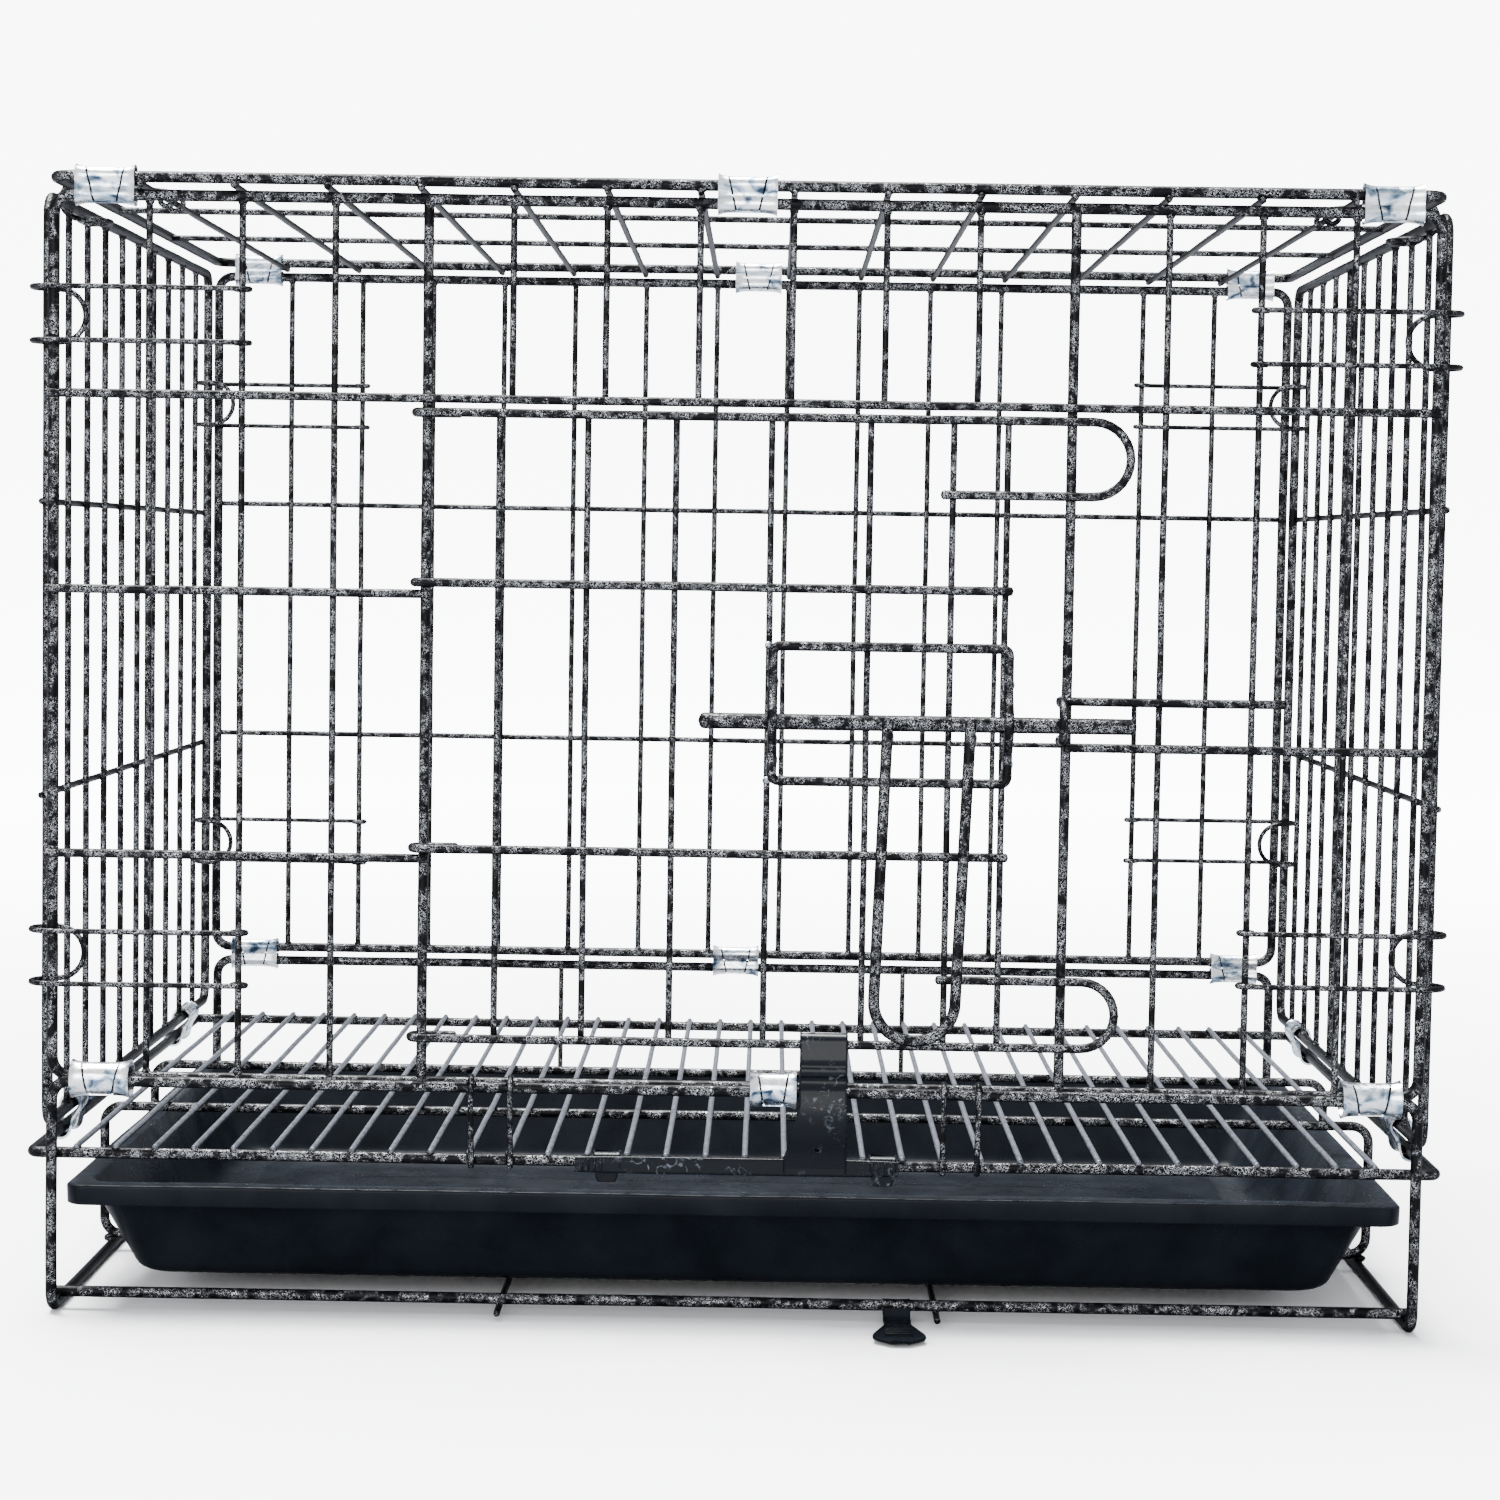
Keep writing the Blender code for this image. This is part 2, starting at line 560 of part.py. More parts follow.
# ---------------------------------------------------------------- door
def door_bar(z, end, turn=None, back_to=None):
    """A door bar: tail and curl round the post, a straight run, and a return bend if it has one."""
    centre = (HINGE_POST_X, PANEL_Y, z)
    curl = arc(centre, (HINGE_POST_X, PANEL_Y + CURL, z), (0, 0, 1), math.pi, 3)
    route = [(HINGE_POST_X + CURL_TAIL, PANEL_Y + CURL, z), *curl]
    if turn is None:
        return route + [(end, DOOR_Y, z)]
    way = 1 if turn > 0 else -1
    bend = arc((end, DOOR_Y, z + turn), (end, DOOR_Y, z), (0, -way, 0), math.pi, 4)
    return route + bend + [(back_to, DOOR_Y, z + 2 * turn)]


def door(coat):
    pivot = (HINGE_POST_X, PANEL_Y, (DOOR_BOTTOM_Z + DOOR_TOP_Z) / 2)
    bars = [
        door_bar(DOOR_TOP_Z, *DOOR_TOP_LOOP),
        door_bar(DOOR_BOTTOM_Z, *DOOR_BOTTOM_LOOP),
        *[door_bar(z, DOOR_MID_END) for z in DOOR_MID_HEIGHTS],
    ]
    ends = (DOOR_BOTTOM_Z - BAR_R / 2, DOOR_TOP_Z + BAR_R / 2)
    thin = rods([[(x, DOOR_ROD_Y, z) for z in ends] for x in DOOR_RODS], ROD_R, sides=4)
    weld("door_panel", [rods(bars, BAR_R, sides=6), thin], coat, pivot)
    guide(coat, pivot)


def guide(coat, pivot):
    """A rounded rectangle whose two upright sides are pressed out over the bolt."""
    low, high = GUIDE_HEIGHTS
    left, right = GUIDE_X

    def side(x, way):
        rises = (-GUIDE_BUMP_RISE, -GUIDE_BUMP_CREST, GUIDE_BUMP_CREST, GUIDE_BUMP_RISE)
        depths = (GUIDE_Y, GUIDE_BUMP_Y, GUIDE_BUMP_Y, GUIDE_Y)
        return [Vector((x, y, BOLT_Z + way * rise)) for y, rise in zip(depths, rises)]

    corners = [Vector((x, GUIDE_Y, z)) for x, z in ((left, low), (right, low), (right, high), (left, high))]
    bend = bent(corners, BEND, 2, closed=True)
    route = bend[:4] + side(right, 1) + bend[4:] + side(left, -1)
    wire("bolt_guide", route, GUIDE_R, coat, pivot, face=(0, 1, 0), closed=True)


def bolt(coat):
    ends = [(x, BOLT_Y, BOLT_Z) for x in BOLT_X]
    wire("bolt_rod", ends, BOLT_R, coat, pivot=((BOLT_X[0] + BOLT_X[1]) / 2, BOLT_Y, BOLT_Z), sides=8)
    y = BOLT_Y - beside(BOLT_R, FRAME_R)
    top, low = BOLT_Z + 0.001, BOLT_Z - HANDLE_HEIGHT
    left, right = HANDLE_TOP_X
    low_left, low_right = HANDLE_BOTTOM_X
    corners = [(left, y, top), (low_left, y, low), (low_right, y, low), (right, y, top)]
    pivot = ((left + right) / 2, BOLT_Y, BOLT_Z)
    wire("bolt_handle", bent(corners, HANDLE_BEND, 4), FRAME_R, coat, pivot, face=(0, 1, 0))
    front = PANEL_Y - beside(POST_R) - EYE_R / 2
    depth = BOLT_Y - 0.0007
    low = (EYE_X, depth, EYE_CENTRE_Z - EYE_BEND)
    bend = arc((EYE_X, depth, EYE_CENTRE_Z), low, (-1, 0, 0), math.pi, 4)
    legs = [(EYE_X, front, EYE_CENTRE_Z - EYE_BEND), (EYE_X, front, EYE_CENTRE_Z + EYE_BEND)]
    wire("bolt_eye", [legs[0], *bend, legs[1]], EYE_R, coat, face=(1, 0, 0))


# ---------------------------------------------------------------- plastic parts
def strap_latch(plastic):
    """A bar with two snap rings on the grate's front wire, and a strap that hooks over the door's bottom bar."""
    axis = (0, GRATE_FRONT_Y, GRATE_Z)
    ring = CORNER * FRAME_R + GAP + STRAP_WALL / 2
    bar_y = GRATE_FRONT_Y - ring
    bar = bmesh.new()
    heights = [(0, 0, z) for z in LATCH_BAR_HEIGHTS]
    add_strip(bar, (LATCH_BAR_X, bar_y, 0), heights, [LATCH_BAR_LENGTH] * 2, STRAP_WALL)
    snaps = bmesh.new()
    opening = math.radians(100)
    for gap in SNAP_GAPS:
        under = arc(axis, (0, bar_y, GRATE_Z), (1, 0, 0), opening, 2)
        over = arc(axis, (0, bar_y, GRATE_Z), (-1, 0, 0), opening, 2)
        route = [*reversed(under), (0, bar_y, GRATE_Z), *over]
        middle = (GRATE_MIDDLE_X + GRATE_PITCH * gap, 0, 0)
        add_strip(snaps, middle, route, [SNAP_LENGTH] * len(route), STRAP_WALL * 0.8)
    crook_r = beside(BAR_R) + STRAP_WALL / 2 + 0.0006
    front = DOOR_Y - crook_r
    top = DOOR_BOTTOM_Z + 0.0010
    crook = arc((0, DOOR_Y - GAP, top), (0, front, top), (-1, 0, 0), math.radians(200), 5)
    route = [
        (0, bar_y + 0.0004, GRATE_Z - 0.0030),
        (0, bar_y - 0.0016, GRATE_Z + 0.0055),
        (0, front - 0.0022, GRATE_Z + 0.0190),
        (0, front - 0.0012, GRATE_Z + 0.0350),
        (0, front, top - 0.0060),
        *crook,
    ]
    widths = [0.029, 0.028, 0.0225, 0.0205] + [0.0210] * (len(route) - 4)
    strap = bmesh.new()
    add_strip(strap, (STRAP_X, 0, 0), route, widths, STRAP_WALL)
    weld("strap_latch", [bar, snaps, strap], plastic, pivot=(0, GRATE_FRONT_Y, GRATE_Z))


def tray_stop(plastic):
    """A snap ring, open at the top, with a tongue that lies forward on the floor."""
    ring = CORNER * FRAME_R + GAP + STOP_WALL / 2
    axis = (0, FRONT_BAR_Y, FRONT_BAR_Z)
    start = Vector(axis) + Matrix.Rotation(math.radians(-60), 3, "X") @ Vector((0, 0, ring))
    curve = arc(axis, start, (-1, 0, 0), math.radians(205), 4)
    tongue = [(0.007, 0.0034), (0.030, 0.0030), (0.040, 0.0022), (0.047, 0.0020)]  # how far forward, how high
    route = [start, *curve, *[(0, FRONT_BAR_Y - forward, z) for forward, z in tongue]]
    widths = [0.012] * (len(route) - 3) + [0.014, 0.023, 0.008]
    bm = bmesh.new()
    add_strip(bm, (STOP_X, 0, 0), route, widths, STOP_WALL)
    place("tray_stop", bm, plastic, pivot=(STOP_X, FRONT_BAR_Y, FRONT_BAR_Z))


def rounded_ring(bm, half_x, front, back, radius, z):
    """Corners of a rounded rectangle at one height."""
    corners = [(-half_x, front, z), (half_x, front, z), (half_x, back, z), (-half_x, back, z)]
    return [bm.verts.new(p) for p in bent(corners, radius, 3, closed=True)]


def tray(plastic):
    """An open shell: tapered walls under a flat rim with a turned-down lip."""
    bm = bmesh.new()
    foot = TRAY_RIM + TRAY_TAPER
    inside = TRAY_BOTTOM_Z + TRAY_WALL
    profile = [
        (foot + TRAY_FLOOR_BEND, TRAY_BOTTOM_Z),
        (foot - TRAY_WALL, TRAY_BOTTOM_Z + TRAY_FLOOR_BEND),
        (TRAY_RIM, TRAY_TOP_Z - TRAY_WALL),
        (TRAY_WALL, TRAY_TOP_Z - TRAY_WALL),
        (TRAY_WALL, TRAY_LIP_Z),
        (0, TRAY_LIP_Z),
        (0, TRAY_TOP_Z),
        (TRAY_RIM + TRAY_WALL, TRAY_TOP_Z),
        (foot, inside + TRAY_FLOOR_BEND),
        (foot + TRAY_WALL + TRAY_FLOOR_BEND, inside),
    ]
    rings = []
    for inset, z in profile:
        radius = TRAY_CORNER + TRAY_CORNER_GROWTH * inset
        rings.append(rounded_ring(bm, TRAY_X - inset, TRAY_FRONT_Y + inset, TRAY_BACK_Y - inset, radius, z))
    for first, second in zip(rings, rings[1:]):
        skin(bm, first, second)
    bm.faces.new(rings[0])
    bm.faces.new(rings[-1])
    place("tray", bm, plastic, pivot=(0, (TRAY_FRONT_Y + TRAY_BACK_Y) / 2, TRAY_BOTTOM_Z))


# ---------------------------------------------------------------- whole
def centre_on_footprint():
    """Moves the crate so that the origin is under the middle of its bounding box."""
    bpy.context.view_layer.update()
    ys = [(obj.matrix_world @ Vector(c)).y for obj in bpy.data.objects for c in obj.bound_box]
    shift = -(min(ys) + max(ys)) / 2
    for obj in bpy.data.objects:
        obj.location.y += shift
    print("the front legs' plane is at y =", round(shift, 6))


def main():
    for obj in list(bpy.data.objects):
        bpy.data.objects.remove(obj)
    coat = material("hammered_coat", (0.02, 0.02, 0.022), 0.3, 0.35)
    zinc = material("zinc_plate", (0.62, 0.68, 0.74), 1.0, 0.35)
    plastic = material("black_plastic", (0.008, 0.008, 0.009), 0.0, 0.25)
    base_frame(coat)
    base_wires(coat)
    floor_grate(coat)
    front_panel(coat)
    back_panel(coat)
    roof_panel(coat)
    side_panel("left", -1, coat)
    side_panel("right", 1, coat)
    hooks(coat)
    clips(zinc)
    door(coat)
    bolt(coat)
    strap_latch(plastic)
    tray_stop(plastic)
    tray(plastic)
    centre_on_footprint()


main()
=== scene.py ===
"""Looks of the folding wire dog crate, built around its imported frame. Metres, +Z up, front towards -Y.

Every wire is drawn again as a round wire with true bends, welds and rounded ends, in place of its CAD node.
The layout repeats the crate's driving dimensions; its Y starts at the plane of the front legs.
"""

import math

import bmesh
import bpy
from mathutils import Matrix, Vector, noise


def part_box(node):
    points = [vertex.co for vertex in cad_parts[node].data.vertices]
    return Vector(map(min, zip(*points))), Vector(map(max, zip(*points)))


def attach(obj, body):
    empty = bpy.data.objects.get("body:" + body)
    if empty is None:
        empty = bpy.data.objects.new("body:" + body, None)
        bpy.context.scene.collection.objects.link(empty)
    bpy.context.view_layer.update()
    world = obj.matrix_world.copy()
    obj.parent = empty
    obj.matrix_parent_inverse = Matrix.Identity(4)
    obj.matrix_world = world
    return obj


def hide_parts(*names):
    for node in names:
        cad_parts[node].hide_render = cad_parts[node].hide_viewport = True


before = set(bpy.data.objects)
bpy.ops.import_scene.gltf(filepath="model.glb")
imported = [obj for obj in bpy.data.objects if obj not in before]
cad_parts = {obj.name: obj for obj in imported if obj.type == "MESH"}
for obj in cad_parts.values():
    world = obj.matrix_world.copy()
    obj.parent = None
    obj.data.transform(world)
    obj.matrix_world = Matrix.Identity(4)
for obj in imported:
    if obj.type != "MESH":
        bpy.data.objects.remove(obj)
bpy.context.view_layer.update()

# ---------------------------------------------------------------- wire sizes
FRAME_R = 0.0025
POST_R = 0.00225
SUPPORT_R = 0.00225
BAR_R = 0.0020
ROD_R = 0.0015
GRATE_R = 0.0013
RUNNER_R = 0.0014
HANGER_R = 0.00135
HOOK_R = 0.00125
GUIDE_R = 0.00215
EYE_R = 0.0019
BOLT_R = 0.0035
SPREAD = 1.06  # the frame's polygonal wires stand this much outside the true radius
WELD = 0.8  # centres of welded wires are this share of their radii apart
GAP = 0.0003


def beside(*radii):
    """Centre distance at which two separate wires pass each other."""
    return SPREAD * sum(radii) + GAP


def welded(*radii):
    return WELD * sum(radii)


def flat(radius, sides):
    return SPREAD * radius * math.cos(math.pi / sides)


# ---------------------------------------------------------------- the crate's layout
LEG_LOW, LEG_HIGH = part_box("base_frame")
TRAY_LOW, TRAY_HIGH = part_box("tray")
LEG_FLAT = flat(FRAME_R, 8)
FRONT = LEG_LOW.y + LEG_FLAT  # world Y of the front legs' plane
LEG_X = LEG_HIGH.x - LEG_FLAT
BACK_Y = LEG_HIGH.y - LEG_FLAT - FRONT
BASE_TOP_Z = LEG_HIGH.z - LEG_FLAT
RAIL_Z = LEG_FLAT
PANEL_X = 0.2975
SIDE_X = 0.3020
ROOF_X = 0.2980
GRATE_X = 0.3065
GRATE_Z = 0.0700
SIDE_BOTTOM_Z = 0.0810
PANEL_BOTTOM_Z = 0.1037
BACK_BOTTOM_Z = 0.1100
PANEL_TOP_Z = 0.4850
BEND = 0.0080

PANEL_Y = beside(FRAME_R, FRAME_R)
CURL = beside(POST_R, BAR_R)
DOOR_Y = PANEL_Y - CURL
DOOR_ROD_Y = DOOR_Y + welded(BAR_R, ROD_R)
HOOK_LEG = beside(FRAME_R, HOOK_R)
HOOK_CURL = beside(ROD_R, HOOK_R)
FRONT_BAR_Y = BEND + FRAME_R
FRONT_BAR_Z = RAIL_Z + LEG_FLAT + flat(FRAME_R, 6) + GAP
RUNNER_Z = FRONT_BAR_Z - flat(FRAME_R, 6) - GAP - SPREAD * RUNNER_R
STRUT_Y = BACK_Y - beside(FRAME_R, RUNNER_R)
GRATE_BACK_Y = STRUT_Y - beside(FRAME_R, RUNNER_R)
SIDE_FRONT_Y = PANEL_Y + CURL + SPREAD * (BAR_R + FRAME_R) + 2 * GAP
SIDE_BACK_Y = GRATE_BACK_Y - GAP
SIDE_PITCH = (SIDE_BACK_Y - SIDE_FRONT_Y) / 10
GRATE_WIRE_Z = GRATE_Z + welded(FRAME_R, GRATE_R)
SUPPORT_TOP_Z = GRATE_WIRE_Z - beside(SUPPORT_R, GRATE_R)
SUPPORT_BOTTOM_Z = RAIL_Z + LEG_FLAT + SPREAD * SUPPORT_R + GAP
ROOF_ROD_Z = PANEL_TOP_Z + beside(FRAME_R, ROD_R)
ROOF_Z = ROOF_ROD_Z + welded(FRAME_R, ROD_R)

ROD_PITCH = 0.040
BACK_ROD_PITCH = 0.0395
HINGE_POST_X = -0.1365
LATCH_POST_X = 0.1410
FRONT_RODS = {-1: (0.1765, 0.2165, 0.2565), 1: (0.1810, 0.2210, 0.2610)}
LINTEL_Z = 0.4000
LEFT_BAR_HEIGHTS = (0.3160, 0.2015)
RIGHT_SHORT_BAR = (0.2345, 0.2740)  # its end along X, and its height
RIGHT_BAR_Z = 0.2540
MID_BAR_HEIGHTS = {"left": (0.3535, 0.2255), "right": (0.3590, 0.2290), "back": (0.3590, 0.2305)}
ROOF_BAR_DEPTHS = (0.139, 0.272)
GRATE_WIRES = 34
GRATE_PITCH = 0.01715
GRATE_MIDDLE_X = -0.0035
SUPPORT_X = 0.3000
SUPPORT_DEPTHS = (0.130, 0.255)
RUNNERS = {"left": -0.102, "right": 0.090}
HANGERS = (-0.114, -0.097, 0.091, 0.106)

DOOR_BOTTOM_Z = 0.1235
DOOR_TOP_Z = 0.3940
DOOR_MID_HEIGHTS = (0.3210, 0.2060)
DOOR_MID_END = 0.1155
DOOR_TOP_LOOP = (0.1500, -0.0160, 0.0860)  # where the bend starts, its radius and way, where the wire ends
DOOR_BOTTOM_LOOP = (0.1495, 0.0145, 0.0875)
DOOR_RODS = (-0.1050, -0.0670, -0.0290, 0.0120, 0.0545, 0.0902, 0.1135)
CURL_TAIL = 0.0135
BOLT_Z = 0.2636
BOLT_X = (-0.0155, 0.1684)
BOLT_Y = DOOR_ROD_Y - beside(ROD_R, BOLT_R)
GUIDE_X = (0.0140, 0.1155)
GUIDE_HEIGHTS = (0.2380, 0.2962)
GUIDE_BUMP_RISE = 0.013
GUIDE_BUMP_CREST = 0.004
GUIDE_Y = DOOR_ROD_Y - beside(ROD_R, GUIDE_R)
GUIDE_BUMP_Y = BOLT_Y - beside(BOLT_R, GUIDE_R)
EYE_X = 0.1385
EYE_CENTRE_Z = 0.2655
EYE_BEND = 0.0085
HANDLE_TOP_X = (0.0635, 0.0990)
HANDLE_BOTTOM_X = (0.0590, 0.0940)
HANDLE_HEIGHT = 0.1363
HANDLE_BEND = 0.0165
HOOK_HALF = 0.0115
HOOK_HEIGHTS = {
    "front_left": {"upper": 0.4340, "lower": 0.1560},
    "front_right": {"upper": 0.4315, "lower": 0.1630},
    "back_left": {"upper": 0.4140, "lower": 0.1700},
    "back_right": {"upper": 0.4210, "lower": 0.1780},
}
ROOF_HOOK_BAY = 1.5
CLIP_LENGTH = 0.0255
MIDDLE_BASE_CLIP_LENGTH = 0.0200
CLIP_WALL = 0.0010
STRAP_X = 0.0386
STRAP_WALL = 0.0022
LATCH_BAR_X = 0.0016
LATCH_BAR_LENGTH = 0.1408
LATCH_BAR_HEIGHTS = (GRATE_Z - 0.0045, GRATE_Z + 0.0030)
SNAP_GAPS = (-3, 4)
SNAP_LENGTH = 0.0120
STOP_X = 0.0725
STOP_WALL = 0.0016


# ---------------------------------------------------------------- routes
def arc(centre, start, axis, angle, steps):
    """Points on an arc from start about axis, with both ends."""
    centre = Vector(centre)
    arm = Vector(start) - centre
    return [centre + Matrix.Rotation(angle * k / steps, 3, Vector(axis)) @ arm for k in range(steps + 1)]


def bent(points, radius, closed=False, steps=6):
    """A route through points with each corner bent to the radius."""
    points = [Vector(p) for p in points]
    route = []
    for i, point in enumerate(points):
        if not closed and i in (0, len(points) - 1):
            route.append(point)
            continue
        before = (point - points[i - 1]).normalized()
        after = (points[(i + 1) % len(points)] - point).normalized()
        turn = before.angle(after)
        if turn < 0.01:
            route.append(point)
            continue
        centre = point + (after - before).normalized() * radius / math.cos(turn / 2)
        start = point - before * radius * math.tan(turn / 2)
        route += arc(centre, start, before.cross(after), turn, steps)
    return route


def spaced(route, pitch, closed=False):
    """The same route, with no two points further apart than pitch."""
    route = [Vector(p) for p in route]
    ends = route[1:] + route[:1] if closed else route[1:]
    full = []
    for a, b in zip(route, ends):
        parts = max(1, math.ceil((b - a).length / pitch))
        full += [a.lerp(b, k / parts) for k in range(parts)]
    return full if closed else full + [route[-1]]


def smooth_route(points, parts=5):
    """A Catmull-Rom curve through the points."""
    points = [Vector(p) for p in points]
    padded = [points[0] * 2 - points[1], *points, points[-1] * 2 - points[-2]]
    route = []
    for a, b, c, d in zip(padded, padded[1:], padded[2:], padded[3:]):
        for k in range(parts):
            t = k / parts
            route.append(
                0.5 * (2 * b + (c - a) * t + (2 * a - 5 * b + 4 * c - d) * t**2
                       + (3 * b - a - 3 * c + d) * t**3)
            )
    return route + [points[-1]]


WAVER = 0.00022  # how far a hand-welded wire strays from its straight line
WAVER_PITCH = 0.024


def wavered(route, closed=False):
    """The route with the slight waviness of drawn wire; its ends stay where they are."""
    route = spaced(route, WAVER_PITCH, closed)
    last = len(route) - 1
    strayed = []
    for k, point in enumerate(route):
        hold = 1 if closed else min(1, 4 * k / last, 4 * (last - k) / last)
        strayed.append(point + noise.noise_vector(point * 23 + Vector((3.1, 7.7, 1.3))) * WAVER * hold)
    return strayed


# ---------------------------------------------------------------- meshes
def skin(bm, first, second):
    """Faces between two rings with the same number of corners."""
    for k in range(len(first)):
        n = (k + 1) % len(first)
        bm.faces.new((first[k], first[n], second[n], second[k]))


def tube(bm, route, radius, sides=12, closed=False):
    """A round wire along a route, with domed ends where it is open."""
    route = [Vector(p) for p in route]
    count = len(route)
    tangents = []
    for i, point in enumerate(route):
        after = route[(i + 1) % count] if closed or i < count - 1 else point * 2 - route[i - 1]
        before = route[i - 1] if closed or i else point * 2 - after
        tangents.append((after - before).normalized())
    across = tangents[0].orthogonal().normalized()
    rings = []
    for i, point in enumerate(route):
        if i:
            across = tangents[i - 1].rotation_difference(tangents[i]) @ across
            across = (across - tangents[i] * across.dot(tangents[i])).normalized()
        other = tangents[i].cross(across)
        spokes = [across * math.cos(2 * math.pi * k / sides) + other * math.sin(2 * math.pi * k / sides)
                  for k in range(sides)]
        rings.append([point + s * radius for s in spokes])
    if closed:
        made = [[bm.verts.new(p) for p in ring] for ring in rings]
        for first, second in zip(made, made[1:]):
            skin(bm, first, second)
        shift = min(range(sides), key=lambda k: (rings[-1][0] - rings[0][k]).length)
        skin(bm, made[-1], made[0][shift:] + made[0][:shift])
        return
    domes = [(0.92, 0.38), (0.6, 0.75)]
    for end, way in ((0, -1), (-1, 1)):
        centre = route[end]
        out = tangents[end] * way * radius * 0.7
        shells = [[centre + (p - centre) * share + out * rise for p in rings[end]]
                  for share, rise in domes]
        if end == 0:
            rings = [*reversed(shells), *rings]
        else:
            rings = [*rings, *shells]
    made = [[bm.verts.new(p) for p in ring] for ring in rings]
    for first, second in zip(made, made[1:]):
        skin(bm, first, second)
    for end, way in ((0, -1), (-1, 1)):
        tip = bm.verts.new(route[end] + tangents[end] * way * radius * 0.7)
        for k in range(sides):
            bm.faces.new((made[end][k], made[end][(k + 1) % sides], tip))


def bead(bm, point, size, squash=(1, 1, 1)):
    """A small lump of weld, painted over with its wires."""
    lumpy = Matrix.Translation(Vector(point)) @ Matrix.Diagonal((*[size * s for s in squash], 1))
    made = bmesh.ops.create_icosphere(bm, subdivisions=2, radius=1, matrix=lumpy)
    for vert in made["verts"]:
        arm = vert.co - Vector(point)
        vert.co += arm * 0.22 * noise.noise(vert.co * 900)


def ribbon(bm, centre, points, widths, wall, axis=(1, 0, 0)):
    """A moulded strip with rounded edges along points, its widths measured along axis."""
    axis = Vector(axis)
    points = [Vector(p) for p in points]
    edge = wall * 0.36
    rings = []
    for i, point in enumerate(points):
        along = (points[min(i + 1, len(points) - 1)] - points[max(i - 1, 0)]).normalized()
        side = axis.cross(along)
        half = widths[i] / 2
        ring = []
        for u, v in ((1, 1), (-1, 1), (-1, -1), (1, -1)):
            thick, cut = wall / 2, edge * 0.3
            corner = [(half - edge, thick), (half - cut, thick - cut), (half, thick - edge)]
            if u * v < 0:
                corner.reverse()
            ring += [Vector(centre) + point + axis * u * a + side * v * b for a, b in corner]
        rings.append([bm.verts.new(p) for p in ring])
    for first, second in zip(rings, rings[1:]):
        skin(bm, first, second)
    bm.faces.new(rings[0])
    bm.faces.new(rings[-1])


def place(name, bm, body, slot, node=None, sharp=50):
    """The bmesh as a finished piece that rides on a body and stands for a CAD node."""
    bmesh.ops.recalc_face_normals(bm, faces=bm.faces)
    bm.transform(Matrix.Translation((0, FRONT, 0)))
    mesh = bpy.data.meshes.new(name)
    bm.to_mesh(mesh)
    bm.free()
    mesh.shade_smooth()
    mesh.set_sharp_from_angle(angle=math.radians(sharp))
    mesh.materials.append(FINISHES[slot])
    made = bpy.data.objects.new(name, mesh)
    bpy.context.scene.collection.objects.link(made)
    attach(made, body)
    if node:
        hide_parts(node)
    return made


def wires(name, routes, radius, body="crate", slot="hammered_coat", node=None, **options):
    bm = bmesh.new()
    for route in routes:
        tube(bm, route, radius, **options)
    return place(name, bm, body, slot, node)


# ---------------------------------------------------------------- finishes
class Finish:
    """A material being wired up, with short calls for the nodes it needs."""

    def __init__(self, name):
        self.made = bpy.data.materials.new(name)
        self.made.use_nodes = True
        self.nodes = self.made.node_tree.nodes
        self.shader = self.nodes["Principled BSDF"]
        self.place = self.nodes.new("ShaderNodeTexCoord").outputs["Object"]

    def link(self, out, into):
        self.made.node_tree.links.new(out, into)

    def noise(self, scale, detail=2.0, distortion=0.0, stretch=(1, 1, 1)):
        """Noise with features about 1 / scale metres across."""
        mapping = self.nodes.new("ShaderNodeMapping")
        mapping.inputs["Scale"].default_value = stretch
        self.link(self.place, mapping.inputs["Vector"])
        texture = self.nodes.new("ShaderNodeTexNoise")
        texture.inputs["Scale"].default_value = scale
        texture.inputs["Detail"].default_value = detail
        texture.inputs["Distortion"].default_value = distortion
        self.link(mapping.outputs["Vector"], texture.inputs["Vector"])
        return texture.outputs["Fac"]

    def ramp(self, value, stops):
        """stops are (position, grey or colour)."""
        ramp = self.nodes.new("ShaderNodeValToRGB")
        elements = ramp.color_ramp.elements
        while len(elements) < len(stops):
            elements.new(0.5)
        for element, (position, colour) in zip(elements, stops):
            element.position = position
            colour = colour if isinstance(colour, tuple) else (colour, colour, colour)
            element.color = (*colour, 1)
        self.link(value, ramp.inputs["Fac"])
        return ramp.outputs["Color"]

    def math(self, operation, first, second):
        node = self.nodes.new("ShaderNodeMath")
        node.operation = operation
        for socket, value in zip(node.inputs, (first, second)):
            if isinstance(value, (int, float)):
                socket.default_value = value
            else:
                self.link(value, socket)
        return node.outputs["Value"]

    def bump(self, height, strength, distance):
        node = self.nodes.new("ShaderNodeBump")
        node.inputs["Strength"].default_value = strength
        node.inputs["Distance"].default_value = distance
        self.link(height, node.inputs["Height"])
        self.link(node.outputs["Normal"], self.shader.inputs["Normal"])

    def drive(self, **sockets):
        for name, value in sockets.items():
            socket = self.shader.inputs[name.replace("_", " ")]
            if isinstance(value, (int, float, tuple)):
                socket.default_value = value
            else:
                self.link(value, socket)
        return self.made


# Coat colours: black, and the grey and silvery tones of its veins, which also stand for painted glints on
# the faces of the wires turned to the camera.
COAT_BLACK, COAT_GREY, COAT_VEIN_AND_GLINT = (0.0012, 0.0012, 0.0018), (0.02, 0.02, 0.026), (0.94, 0.96, 1.0)
# Floor wire colours: a lighter grey that stands for painted light from above on the wires' tops.
TOPLIT_GRATE_DARK, TOPLIT_GRATE_LIGHT = (0.035, 0.04, 0.05), (0.16, 0.17, 0.20)
